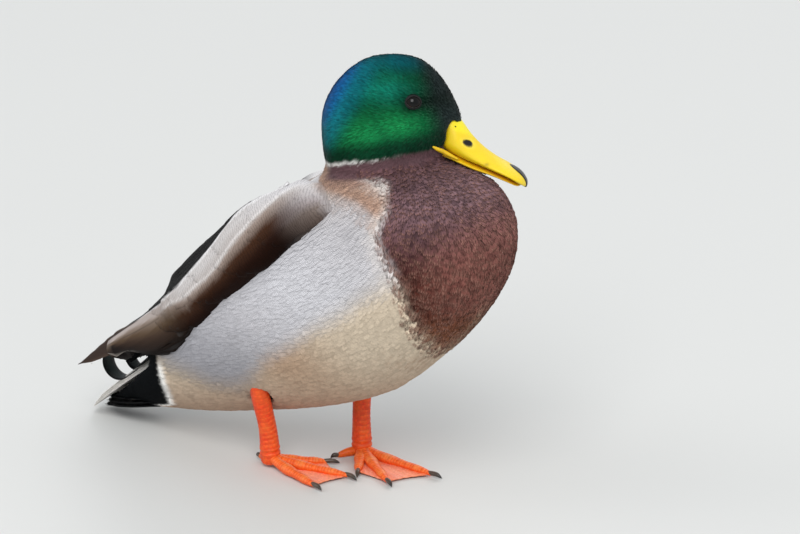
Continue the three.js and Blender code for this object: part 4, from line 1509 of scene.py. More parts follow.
class Coat:
    """All tracts of small feathers."""

    cover = 1.2  # how far up the edge of a wing the feathers of the body reach
    # The solids round which the skin is bare, out to two distances.
    bare_round = ((("bill_upper", "bill_lower"), 0.8, 1.5), (("leg_right", "leg_left"), 0.0, 0.8))
    head = SmallFeather("head_feather", 3.6, 1.0, 0.5, rows=2, columns=2, ragged=0.1, camber=0.06)
    ring = SmallFeather("ring_feather", 3.2, 1.2, 0.55, rows=2, columns=2, ragged=0.1, camber=0.05)
    breast = SmallFeather("breast_feather", 9.5, 3.6, 0.9, rows=4, columns=6, ragged=0.28, camber=0.06)
    flank = SmallFeather("flank_feather", 12.0, 4.8, 0.3, rows=4, columns=4, ragged=0.06, camber=0.02)
    belly = SmallFeather("belly_feather", 11.0, 3.6, 0.38, rows=4, columns=4, ragged=0.14, camber=0.03)
    rump = SmallFeather("rump_feather", 10.5, 4.6, 0.9, rows=4, columns=4, ragged=0.12, camber=0.06)

    def breast_zone(self, p: Array) -> Array:
        """How far a place lies inside the breast tract."""
        return MARKINGS.past_breast(p) + 3

    def behind_breast(self, p: Array) -> Array:
        """The share of the tracts that end at the breast."""
        return ease(6, 3, self.breast_zone(p))

    def before_vent(self, p: Array) -> Array:
        """The share of the tracts that end at the vent."""
        return ease(7, 9, MARKINGS.past_vent(p))

    def under_ring(self, p: Array) -> Array:
        """The share of the tracts that end at the white ring."""
        return ease(-2.4, -3.2, MARKINGS.over_ring(p))

    def crown(self, p: Array) -> Array:
        """The head's mask."""
        return ease(-0.2, 0.6, MARKINGS.over_ring(p))

    def collar(self, p: Array) -> Array:
        """The white ring's mask."""
        return ease(-4.4, -3.8, MARKINGS.over_ring(p)) * ease(1.8, 1.2, MARKINGS.over_ring(p))

    def front(self, p: Array) -> Array:
        """The breast's mask."""
        return ease(-1, 1, self.breast_zone(p)) * self.under_ring(p)

    def flank_side(self, side: Side, p: Array) -> Array:
        """The mask of one flank.

        Args:
            side: The flank's side.
            p: Places in millimetres.

        Returns:
            Shares from 0 to 1.
        """
        own = ease(14, 20, p[:, 1] * side.value)
        behind = self.behind_breast(p) * ease(192, 186, p[:, 2])
        return own * self.before_vent(p) * behind * ease(-1, 1, MARKINGS.over_flank(p) + 5)

    def under(self, p: Array) -> Array:
        """The belly's mask.

        Args:
            p: Places in millimetres.

        Returns:
            Shares from 0 to 1.
        """
        low = np.maximum(ease(1, -1, MARKINGS.over_flank(p) + 1), ease(22, 16, np.abs(p[:, 1])))
        low = low * ease(150, 130, p[:, 2] - 0.5 * p[:, 0])
        return low * self.before_vent(p) * self.behind_breast(p)

    def upper(self, p: Array) -> Array:
        """The mantle's mask: the back between the wings, and the sides of the neck's base.

        Args:
            p: Places in millimetres.

        Returns:
            Shares from 0 to 1.
        """
        x, y, z = p.T
        back = ease(108, 118, MARKINGS.over_back(p)) * ease(22, 18, np.abs(y) * ease(210, 190, z))
        share = np.maximum(back, ease(186, 192, z)) * ease(-30, -24, x)
        return share * self.under_ring(p) * self.behind_breast(p)

    def stern(self, p: Array) -> Array:
        """The mask of the rump and the vent.

        Args:
            p: Places in millimetres.

        Returns:
            Shares from 0 to 1.
        """
        x, y, _ = p.T
        top = MARKINGS.over_back(p)
        back = ease(104, 114, top) * ease(-22, -28, x) * ease(88, 98, top - 0.8 * np.abs(y))
        return np.maximum(ease(11, 9, MARKINGS.past_vent(p)), back)

    def neck_size(self, p: Array) -> Array:
        """How large feathers are: small near the neck and the face."""
        return 0.6 + 0.4 * ease(205, 160, p[:, 2])

    def face_size(self, p: Array) -> Array:
        """How large the head's feathers are: smallest round the bill."""
        return 1.1 - 0.5 * ease(5, 34, HEAD.local(p)[0])

    def tracts(self) -> list[Tract]:
        """The tracts, with their feathers and finishes.

        Returns:
            The tracts in the order in which they grow.
        """
        sheen = PlumageFinish(
            "green_plumage", rough=0.42, metal=0.4, barbs=0.25, barb_count=5, sheen=0.0, gloss=0.05,
        )
        white = PlumageFinish("white_plumage", rough=0.8, barbs=0.05, spread=0.1)
        brown = PlumageFinish(
            "brown_plumage", rough=0.7, barbs=0.2, barb_count=9, fringe=tint("#936b5e"), fringe_share=0.6,
            spread=0.4, gloss=0.06, sheen=0.02,
        )
        grey = PlumageFinish(
            "grey_plumage", rough=0.75, bars=0.4, bar_count=12, barbs=0.08, fringe=tint("#85848a"),
            fringe_share=0.45, fringe_from=0.96, spread=0.06, bump=0.15, gloss=0.08,
        )
        cream = PlumageFinish(
            "cream_plumage", rough=0.8, barbs=0.1, bars=0.1, bar_count=6, spread=0.12, bump=0.2, gloss=0.12,
        )
        black = PlumageFinish("black_plumage", rough=0.7, barbs=0.2, spread=0.3, sheen=0.0, gloss=0.04)
        mantle = PlumageFinish("mantle_plumage", rough=0.7, bars=0.35, bar_count=6, barbs=0.12, spread=0.25)
        body, small = "body_plumage", self.neck_size
        return [
            Tract(
                "head_plumage", "green_head", self.head, sheen, 0.74, self.crown,
                paint=0.8, size=self.face_size, seed=3,
            ),
            Tract("collar_plumage", "white_collar", self.ring, white, 0.8, self.collar, paint=1.0, seed=5),
            Tract("breast_plumage", body, self.breast, brown, 1.5, self.front, paint=0.3, size=small, seed=7),
            Tract("belly_plumage", body, self.belly, cream, 1.85, self.under, seed=9),
            Tract(
                "mantle_plumage", body, self.flank, mantle, 1.5, self.upper, paint=0.7, size=small, seed=11,
            ),
            Tract("rump_plumage", "black_plumage", self.rump, black, 1.7, self.stern, paint=1.0, seed=13),
            *(
                Tract(
                    f"flank_plumage_{side.word}", body, self.flank, grey, 1.6, partial(self.flank_side, side),
                    seed=15,
                )
                for side in Side
            ),
        ]

    def build(self, skin: Skin, form: Form, folds: Array) -> None:
        """Grows every tract, bare under other pieces and raised over the wings' edges.

        Args:
            skin: The skin that carries the feathers.
            form: The surface on which the wings were laid.
            folds: Points of the folds at the corners of the mouth.
        """
        gaps = [np.linalg.norm(skin.points - spot, axis=1) for spot in folds]
        bare = ease(1.0, 1.8, np.min(gaps, axis=0))
        for names, near, far in self.bare_round:
            solid = Form(fused(names, "solid", 1.0, 0))
            bare *= ease(near, far, solid.distances(skin.points))
            solid.drop()
        spots, _ = form.settle(skin.points)
        rise = np.sum((spots - skin.points) * skin.normals, axis=1)
        rise = np.where(HEAD.over_collar(skin.points) < -5, rise, -1)
        bare *= ease(self.cover, self.cover - 0.6, rise)
        raised = np.clip(rise + 0.3, 0, self.cover)[:, None]
        raised = np.maximum(raised, 1.2 * averaged(skin.object.data, raised, 14))[:, 0]
        tree = CoatTree()
        for tract in self.tracts():
            tract.grow(skin, tree, bare, raised)


# ---- Wings ----


@dataclass(frozen=True)
class VaneRow:
    """A row of like feathers on the wing, by shares along (s) and down (v) the folded wing."""

    count: int
    root: tuple[tuple[float, float], tuple[float, float]]  # (s, v) of the first and the last root
    tip: tuple[tuple[float, float], tuple[float, float]]
    width: float
    lift: tuple[float, float]
    shape: VaneShape = VaneShape.ROUNDED
    stack: float = 0.07  # how far each feather lies over the one before
    tertial: bool = False  # whether it is part of the wing itself, not of the scapulars


class WingPlace:
    """Where the folded wing lies on the body."""

    ridge = np.array([
        [32.5, 31, 194.4], [15.7, 30, 187.2], [1.3, 35, 175.8], [-8.6, 40, 165.5], [-26.8, 43, 148.1],
        [-42.9, 45, 128.2], [-64.2, 43, 107.2], [-82, 35, 91], [-100.3, 27, 76.8], [-127.8, 21, 51.1],
    ])
    low = np.array([
        [56.7, 45.9, 181.3], [40.9, 58.9, 169.1], [28.9, 60.5, 156.7], [18.9, 63.5, 144], [5.5, 62.5, 131.4],
        [-19.3, 58, 110.9], [-33.2, 55, 95.4], [-46.4, 49.6, 82.8], [-60, 45.8, 70.9], [-76.3, 42.5, 63.3],
        [-98, 33, 57], [-121.1, 24.9, 51.3],
    ])
    span = 210.0
    # Places down the wing (v) at places along it (s): the bright line, the black's border and the lower edge.
    line = np.array([
        [0, 0.1], [0.09, 0.16], [0.15, 0.19], [0.21, 0.24], [0.25, 0.3], [0.3, 0.38], [0.36, 0.48],
        [0.42, 0.52], [0.48, 0.5], [0.53, 0.47], [0.58, 0.33], [0.68, 0.22], [0.81, 0.2], [0.92, 0.1],
        [1, 0.08],
    ])
    dark_edge = np.array([
        [0, -0.3], [0.1, -0.2], [0.29, -0.15], [0.36, -0.02], [0.42, 0.05], [0.55, 0.15], [0.64, 0.08],
        [0.73, 0], [1, -0.03],
    ])
    low_edge = np.array([
        [0, 1.0], [0.13, 0.94], [0.6, 0.93], [0.67, 1.04], [0.72, 1.12], [0.8, 1.1], [1, 1.1],
    ])
    # Colours from the bright line down to the lower edge: levels, and the colours there; the brown deepens
    # into painted shade where the edge tucks under the flank.
    front_browns = ((0, 0.15, 0.45, 0.75, 1), ("#beb6b1", "#95857b", "#3f2617", "#220f07", "#0d0503"))
    rear_browns = (
        (0, 0.12, 0.35, 0.55, 0.78, 1), ("#a89c95", "#7e6e62", "#54412f", "#36251a", "#1e0f05", "#100502"),
    )
    # The grey of the shoulder, darkened the same way into painted shade at the lower edge.
    shoulder_greys = ((0, 0.4, 0.6, 0.8, 1), ("#d8d5d5", "#c6c0c0", "#a99f9e", "#83766f", "#5f5049"))

    @staticmethod
    def even(points: Array) -> Array:
        """Points spread evenly along a smooth curve through control points.

        Args:
            points: The control points.

        Returns:
            41 points.
        """
        dense = spline(points, np.linspace(0, 1, 400))
        run = np.append(0, np.cumsum(np.linalg.norm(np.diff(dense, axis=0), axis=1)))
        at = np.linspace(0, run[-1], 41)
        return np.stack([np.interp(at, run, dense[:, k]) for k in range(3)], axis=1)

    def __init__(self, side: Side) -> None:
        """Lays out both edges of the wing on one side.

        Args:
            side: The wing's side.
        """
        mirror = np.array([1, side.value, 1])
        self.upper = self.even(self.ridge) * mirror
        self.lower = self.even(self.low) * mirror
        self.inner = self.upper * [1, 0.35, 1] + [-3, 0, 6]
        self.start = unit(self.upper[0] - self.upper[3] + self.lower[0] - self.lower[3])
        self.s, self.v = np.meshgrid(np.linspace(-0.12, 1, 100), np.linspace(-0.4, 1.25, 60), indexing="ij")
        self.net = KDTree(self.s.size)
        for i, spot in enumerate(self.at(self.s.ravel(), self.v.ravel())):
            self.net.insert(Vector(spot), i)
        self.net.balance()

    def at(self, s: Array, v: Array) -> Array:
        """The place at shares along and down the wing; below 0 it runs to the middle of the back.

        Args:
            s: Shares along the wing.
            v: Shares down the wing.

        Returns:
            Places in millimetres.
        """
        on = np.clip(s, 0, 1)
        outer = blend(spline(self.upper, on), spline(self.lower, on), np.maximum(v, 0))
        place = blend(outer, spline(self.inner, on), np.clip(-v / 0.4, 0, 1))
        return place + (on - s)[..., None] * self.span * self.start

    def shares(self, points: Array) -> tuple[Array, Array]:
        """The shares along and down the wing at each point.

        Args:
            points: Places in millimetres, in an array of any shape (..., 3).

        Returns:
            The shares along and the shares down the wing.
        """
        index = np.array([self.net.find(Vector(q))[1] for q in points.reshape(-1, 3)])
        shape = points.shape[:-1]
        return self.s.ravel()[index].reshape(shape), self.v.ravel()[index].reshape(shape)

    def colours(self, points: Array) -> Array:
        """Pale grey over the bright line, which is a pale fringe with a painted highlight, and beige running
        into dark brown and painted shade under it.

        Args:
            points: Places in millimetres, in an array of any shape (..., 3).

        Returns:
            A colour for each place.
        """
        s, v = self.shares(points)
        line, edge = np.interp(s, *self.line.T), np.interp(s, *self.dark_edge.T)
        down = np.clip((v - line) / (1 - line), 0, 1)
        front, rear = self.ramp(down, *self.front_browns), self.ramp(down, *self.rear_browns)
        lower = blend(front, rear, ease(0.54, 0.66, s))
        lower = blend(lower, self.ramp(down, *self.shoulder_greys), ease(0.17, -0.03, s))
        share = np.clip((v - edge) / np.maximum(line - edge, 0.05), 0, 1)
        upper = layered(
            blend(tint("#b7afab"), tint("#c8c3c1"), hump(share, 0.45, 0.3)),
            ("#a89c96", ease(0.5, 0.7, s)),
            ("#d3d0d1", ease(0.3, 0.05, s)),
        )
        # The bright line is a pale fringe with a painted highlight along it, where the rounded band catches
        # the light.
        fringe_and_highlight = hump(v - line, -0.01, 0.03) * ease(0.0, 0.1, s) * ease(0.7, 0.6, s)
        colour = layered(
            blend(upper, lower, ease(-0.03, 0.05, v - line)),
            ("#e6e1df", 0.6 * fringe_and_highlight),
            ("#eceaea", 0.85 * hump(share, 0.05, 0.14) * ease(0.95, 0.7, s)),
            ("#080707", ease(0.015, -0.025, v - edge) * ease(0.18, 0.28, s)),
        )
        body = MARKINGS.body_colours(points.reshape(-1, 3)).reshape(points.shape)
        return blend(colour, body, ease(0.02, -0.04, s))

    @staticmethod
    def ramp(value: Array, levels: Sequence[float], codes: Sequence[str]) -> Array:
        """The colours at places on a scale of named colours."""
        stops = np.array([tint(code) for code in codes])
        return np.stack([np.interp(value, levels, stops[:, k]) for k in range(3)], axis=-1)


@dataclass
class Wing:
    """One folded wing with its scapulars."""

    side: Side
    rows: tuple[VaneRow, ...] = (
        VaneRow(
            3, ((0.42, 0.74), (0.44, 0.5)), ((0.94, 0.5), (1.0, 0.28)), 34, (-1.2, 2.0),
            VaneShape.POINTED, 0.4, tertial=True,
        ),
        # The inner scapulars, from the rear forward.
        VaneRow(4, ((0.68, -0.04), (0.7, -0.26)), ((0.97, -0.02), (1.0, -0.24)), 13, (0.2, 1.0)),
        VaneRow(4, ((0.46, -0.04), (0.48, -0.28)), ((0.78, -0.03), (0.82, -0.28)), 15, (0.2, 1.0)),
        VaneRow(4, ((0.24, -0.04), (0.26, -0.28)), ((0.56, -0.03), (0.6, -0.28)), 16, (0.2, 1.0)),
        VaneRow(4, ((0.1, -0.04), (0.11, -0.24)), ((0.34, -0.03), (0.38, -0.28)), 16, (-0.6, 0.5)),
        # The lower scapulars.
        VaneRow(5, ((0.36, 0.86), (0.4, 0.36)), ((0.62, 0.86), (0.72, 0.36)), 17, (0.1, 0.7)),
        VaneRow(5, ((0.2, 0.87), (0.23, 0.42)), ((0.46, 0.87), (0.54, 0.44)), 17, (0.1, 0.7)),
        VaneRow(5, ((0.05, 0.87), (0.06, 0.42)), ((0.3, 0.87), (0.38, 0.46)), 17, (0.1, 0.7)),
        VaneRow(5, ((-0.02, 0.85), (-0.02, 0.3)), ((0.18, 0.86), (0.24, 0.4)), 16, (0.0, 0.7)),
        # The upper scapulars.
        VaneRow(5, ((0.46, 0.42), (0.5, 0.05)), ((0.68, 0.3), (0.76, 0.03)), 13, (0.4, 1.0)),
        VaneRow(6, ((0.36, 0.44), (0.38, 0.05)), ((0.58, 0.44), (0.64, 0.03)), 12, (0.4, 1.0)),
        VaneRow(6, ((0.24, 0.4), (0.25, 0.05)), ((0.47, 0.44), (0.52, 0.03)), 12, (0.4, 1.0)),
        VaneRow(6, ((0.1, 0.34), (0.11, 0.05)), ((0.34, 0.42), (0.38, 0.03)), 12, (0.4, 1.0)),
        VaneRow(6, ((-0.03, 0.36), (-0.03, 0.05)), ((0.2, 0.34), (0.24, 0.04)), 12, (-0.1, 0.8)),
    )
    primaries: int = 4
    primary_tip: Point = (-153.6, 22.0, 33.6)
    primary_step: Point = (8.0, -1.4, 7.2)
    # Where a primary leaves the wing: (s, v), and how far v moves with each one.
    primary_roots: tuple[Point, Point] = ((0.72, 0.5, -0.1), (0.93, 0.32, -0.07))
    primary_half: float = 5.5
    along: int = 18
    across: int = 9
    thick: float = 0.35
    jitter: float = 0.008  # how far a tip strays, in shares of the wing
    tertial_columns: int = 25
    tertial_rounds: int = 40

    def colour(self, row: VaneRow, grid: Array) -> Array:
        """The colours of one vane's points: the wing's own, with a pale rim on the tertials.

        Args:
            row: The vane's row.
            grid: The vane's points.

        Returns:
            A colour for each point.
        """
        colour = self.place.colours(grid)
        if not row.tertial:
            return colour
        g = np.abs(np.linspace(-1, 1, grid.shape[1]))[None, :]
        rim = ease(0.92, 1.0, g) * ease(0.88, 0.95, self.place.shares(grid)[0])
        return layered(colour, ("#cfc4ba", 0.5 * rim))

    @staticmethod
    def smoothed(grid: Array, rounds: int) -> Array:
        """The grid with its inner points drawn to their neighbours' mean.

        Args:
            grid: The grid of points.
            rounds: How many times.

        Returns:
            The smoother grid, with the same border.
        """
        grid = grid.copy()
        for _ in range(rounds):
            grid[1:-1, 1:-1] = (grid[:-2, 1:-1] + grid[2:, 1:-1] + grid[1:-1, :-2] + grid[1:-1, 2:]) / 4
        return grid

    def primary(self, rank: int, patch: Patchwork) -> None:
        """Adds one primary, which leaves the wing for its tip in the air.

        Args:
            rank: Its number, counted from the lowest.
            patch: The patchwork that takes it.
        """
        mirror = np.array([1, self.side.value, 1])
        tip = (np.array(self.primary_tip) + rank * np.array(self.primary_step)) * mirror
        spots = [
            self.place.at(np.array([s]), np.array([v + step * rank]))[0] for s, v, step in self.primary_roots
        ]
        line = spline([*spots, tip], np.linspace(0, 1, self.along))
        outward = unit(np.array([-0.35, self.side.value * 0.8, 0.5]))
        run = unit(np.gradient(line, axis=0))
        side = unit(np.cross(outward, run))
        way = np.cross(run, side)
        f, g = lattice(self.along, self.across)
        reach = self.primary_half * VaneShape.BLADE.width(f) * ease(1.03, 0.8, f) * g
        height = 0.4 * (1 - g**2) + 0.4 * rank - 0.6
        grid = line[:, None] + reach[..., None] * side[:, None] + height[..., None] * way[:, None]
        colour = blend(tint("#33261f"), tint("#5d4d42"), 0.5 * ease(0.6, 1.0, np.abs(g)) + 0 * f)
        patch.vane(grid, np.broadcast_to(way[:, None], grid.shape), 0.5, colour, 0.5)

    def build(self, form: Form) -> None:
        """Lays all rows over the body.

        Args:
            form: The surface on which they are laid.
        """
        place = self.place = WingPlace(self.side)
        rng = np.random.default_rng(23)
        wing_finish = PlumageFinish(
            "wing_plumage", rough=0.55, barbs=0.1, barb_count=30, shaft=0.35, spread=0.06, gloss=0.08,
            bump=0.2, sheen=0.02,
        )
        fine = PlumageFinish(
            "scapular_plumage", rough=0.65, bars=0.25, bar_count=30, barbs=0.05, barb_count=40, spread=0.015,
            gloss=0.04, sheen=0.02,
        )
        groups = {"wing": Patchwork(), "scapulars": Patchwork()}
        for row in self.rows:
            kind, sink, columns = "scapulars", 0.5, self.across
            if row.tertial:
                kind, sink, columns = "wing", 0.15, self.tertial_columns
            for i in range(row.count):
                share = i / (row.count - 1)
                root, tip = (
                    np.array(near) * (1 - share) + np.array(far) * share for near, far in (row.root, row.tip)
                )
                jitter = rng.normal(size=2) * self.jitter
                u = np.linspace(0, 1, self.along) ** 0.85
                path = root + (tip + jitter - root) * u[:, None]
                line = place.at(path[:, 0], path[:, 1])
                lift = (row.lift[0] + row.stack * i, row.lift[1] + row.stack * i)
                width = row.width * rng.uniform(0.94, 1.06)
                tilt = -0.15 * self.side.value
                grid, ways = form.lay(line, width, row.shape, lift, tilt, columns, camber=0.2, sink=sink)
                if kind == "wing":
                    grid = self.smoothed(grid, self.tertial_rounds)
                groups[kind].vane(grid, ways, self.thick, self.colour(row, grid), rng.uniform())
        for rank in range(self.primaries):
            self.primary(rank, groups["wing"])
        looks = (("wing", wing_finish, "wing_feathers"), ("scapulars", fine, "scapular_feathers"))
        for kind, finish, slot in looks:
            made = groups[kind].build(f"{kind}_vanes_{self.side.word}", finish.build())
            mount(made, slot, f"{kind}_{self.side.word}")


def bed(form: Form, finish: PlumageFinish) -> None:
    """Keeps the form on which the wings were laid beneath their feathers, darkened as painted shade.

    Args:
        form: The surface.
        finish: Its finish.
    """
    left, right = (WingPlace(side).colours(form.points) for side in (Side.LEFT, Side.RIGHT))
    # painted shade: the wings' own colours, darkened, for the shade beneath the vanes
    colour = 0.8 * np.where(form.points[:, 1:2] > 0, left, right)
    made = form.object
    move_points(made.data, form.points - 0.3 * form.normals)
    store(made.data, "plumage", "FLOAT_COLOR", colours_with_alpha(colour))
    store(made.data, "tone", "FLOAT", np.full(len(colour), 0.5))
    made.data.uv_layers.new(name="vane")
    made.data.materials.clear()
    made.data.materials.append(finish.build())
    made.name = "wing_bed"
    mount(smooth_shaded(made), "wing_feathers")


# ---- Tail ----


@dataclass
class Tail:
    """The folded tail and its two curled coverts."""

    root: Point = (-90.3, 0.0, 49.5)
    tip: Point = (-148.3, 0.0, 2.4)
    vent: Point = (-97.0, 0.0, 17.0)
    vent_tip: Point = (-141.0, 0.0, 5.5)
    pairs: int = 8
    rise: float = 0.55  # how far each pair of feathers lies over the next
    spread: float = 15.0
    width: float = 12.0
    arch: float = 0.001  # how the fan droops to its sides, per millimetre
    # The curls: the side, where it leaves the tail, how far aside, its radius and its width.
    curls: tuple[tuple[Side, float, float, float, float], ...] = (
        (Side.RIGHT, 42.0, -5.0, 10.4, 13.5), (Side.LEFT, 36.0, 5.0, 7.4, 12.0),
    )
    curl_start: float = 30.0
    curl_turn: float = 300.0
    # The coverts over and under the tail: how far aside, where each starts and how long it is.
    over: tuple[Point, ...] = (
        (-15, -2, 27), (15, -2, 27), (-9, 0, 32), (9, 0, 32), (-4, 2, 36), (4, 2, 36), (0, -2, 32),
    )
    under: tuple[Point, ...] = (
        (0, 6, 45), (-4, 4, 47), (4, 4, 47), (-8, 2, 46), (8, 2, 46), (-12, 0, 40), (12, 0, 40),
    )
    under_step: tuple[float, float] = (2.5, 2.0)  # how far each layer lies over and behind the last

    def frame(self) -> tuple[Array, Array, Array]:
        """The root, the way of the tail and the way up from it.

        Returns:
            The point and two unit ways.
        """
        root = np.array(self.root)
        run = unit(np.array(self.tip) - root)
        return root, run, np.cross(run, [0.0, -1.0, 0.0])

    def build(self) -> None:
        """Builds the tail feathers and the curls."""
        root, run, way = self.frame()
        length = np.linalg.norm(np.array(self.tip) - root)
        patch = Patchwork()
        rng = np.random.default_rng(31)
        f, g = lattice(20, 9)
        for rank in reversed(range(self.pairs)):
            share = (rank + 0.5) / self.pairs
            for side in Side:
                height = (self.pairs - rank) * self.rise + (1.4 if side is Side.LEFT else 1.0)
                x = (length - 3 * share**2) * f + 0 * g
                y = side.value * self.spread * share * (0.75 + 0.25 * f)
                y = y + 0.5 * self.width * VaneShape.ROUNDED.width(f) * g
                z = height + 0.7 * np.sin(math.pi * f) + 0.35 * (1 - g**2)
                z = z - 0.8 * share * (1 - f) - self.arch * y**2
                grid = self.spread_out((root, run, way), x, y, z)
                dark = hump(g * side.value, -0.35, 0.16) * ease(0.05, 0.3, f) * (1 - 0.55 * share)
                colour = blend(tint("#f1ede6"), tint("#7d6b5c"), 0.75 * dark)
                ways = np.broadcast_to(way, grid.shape)
                patch.vane(grid[:, ::-1], ways, 0.5, colour[:, ::-1], rng.uniform())
        finish = PlumageFinish("tail_plumage", rough=0.65, barbs=0.1, barb_count=26, shaft=0.3, spread=0.08)
        mount(patch.build("tail_vanes", finish.build()), "tail_feathers", "tail")
        gloss = PlumageFinish(
            "curl_plumage", rough=0.4, barbs=0.2, barb_count=30, shaft=0.3, spread=0.1, gloss=0.12,
        )
        self.coverts(gloss.build())
        for side, along, aside, radius, width in self.curls:
            self.curl(side, along, aside, radius, width, gloss.build())

    def spread_out(self, frame: tuple[Array, Array, Array], x: Array, y: Array, z: Array) -> Array:
        """Points by their places along a root's way, aside and up from it."""
        root, run, way = frame
        return root + x[..., None] * run + y[..., None] * LEFTWARDS + z[..., None] * way

    def coverts(self, finish: Material) -> None:
        """Builds the black coverts over and under the root of the tail.

        Args:
            finish: Their finish.
        """
        root, run, way = self.frame()
        patch = Patchwork()
        top = self.pairs * self.rise + 1.9
        self.layer(patch, (root + top * way, run, way), 11.0, self.over)
        root = np.array(self.vent)
        run = unit(np.array(self.vent_tip) - root)
        down = np.cross(-LEFTWARDS, run)
        for step in range(3):
            start = root - (self.under_step[0] * step * down + self.under_step[1] * step * run)
            self.layer(patch, (start, run, down), 12.0, self.under)
        mount(patch.build("tail_coverts", finish), "black_plumage")

    def layer(
        self, patch: Patchwork, frame: tuple[Array, Array, Array], width: float, places: Sequence,
    ) -> None:
        """Adds a layer of pointed black vanes.

        Args:
            patch: The patchwork that takes them.
            frame: Their root, the way that they run and the way up.
            width: Their width.
            places: The place aside, the start and the length of each.
        """
        way = frame[2]
        f, g = lattice(16, 9)
        for rank, (aside, start, length) in enumerate(places):
            x = start + length * f + 0 * g
            y = aside * (1 - 0.25 * f) + 0.5 * width * VaneShape.POINTED.width(f) * g
            z = 0.12 * rank + 0.7 * (1 - g**2) - 0.05 * np.abs(aside) + 0.8 * (1 - f)
            grid = self.spread_out(frame, x, y, z)
            if way[2] > 0:
                grid = grid[:, ::-1]
            patch.vane(grid, np.broadcast_to(way, grid.shape), 0.5, tint("#0a0d0e"), 0.1 * rank)

    def curl(
        self, side: Side, along: float, aside: float, radius: float, width: float, finish: Material,
    ) -> None:
        """Builds one covert that runs back and rolls up and forward.

        Args:
            side: Its side.
            along: Where it leaves the tail.
            aside: How far it lies to the left.
            radius: The radius of its roll.
            width: Its full width.
            finish: Its finish.
        """
        root, run, way = self.frame()
        floor = self.pairs * self.rise + 1.0
        turns = np.radians(np.linspace(0, self.curl_turn, 34))
        size = radius * (1 - 0.3 * turns / turns[-1])
        rolled = np.stack([along + np.sin(turns) * size, floor + radius - np.cos(turns) * size], axis=1)
        flat = np.stack([np.linspace(self.curl_start, along, 8)[:-1], np.full(7, floor)], axis=1)
        path = np.concatenate([flat, rolled])
        line = root + path[:, :1] * run + path[:, 1:] * way + aside * LEFTWARDS
        ways = np.cross(unit(np.gradient(line, axis=0)), -LEFTWARDS)
        f, g = lattice(len(line), 9)
        half = 0.5 * width * (1 - 0.45 * f**2) * VaneShape.BLADE.width(0.9 * f)
        cup = -0.6 * g**2
        grid = line[:, None] - (half * g)[..., None] * LEFTWARDS + cup[..., None] * ways[:, None]
        grid = grid + 1.2 * side.value * LEFTWARDS * (f**2)[..., None]
        patch = Patchwork()
        # painted sheen: a green gloss down the middle of the black vane
        colour = blend(tint("#07090a"), tint("#10302a"), 0.5 * hump(g, 0.0, 0.5) * np.ones_like(f))
        patch.vane(grid, np.broadcast_to(ways[:, None], grid.shape), 0.7, colour, 0.5)
        mount(patch.build(f"curl_feather_{side.word}", finish), "black_plumage", f"curl_{side.word}")


# ---- Bill and eyes ----


@dataclass(frozen=True)
class Loft:
    """A closed form of sections across the head's upright plane.

    Each section is its upper and lower point (ahead, up), its half width and its lean.
    """

    sections: tuple[tuple[float, ...], ...]

    def grid(self, rows: int, columns: int, start: float = 0.0) -> tuple[Array, Array, Array]:
        """The points of the form in the head's own frame.

        Args:
            rows: How many rings it has.
            columns: How many points lie round a ring.
            start: The share of its length at which the grid begins.

        Returns:
            Three arrays of shape (rows, columns).
        """
        s = start + (1 - start) * np.linspace(0, 1, rows)
        theta = around(columns)
        q = spline(self.sections, s)
        back_x, back_z, low_x, low_z, half, lean = (q[:, k : k + 1] for k in range(6))
        ahead = (back_x + low_x) / 2 + (back_x - low_x) / 2 * np.cos(theta)
        up = (back_z + low_z) / 2 + (back_z - low_z) / 2 * np.cos(theta)
        return ahead, half * np.sin(theta) * (1 + lean * np.cos(theta)), up


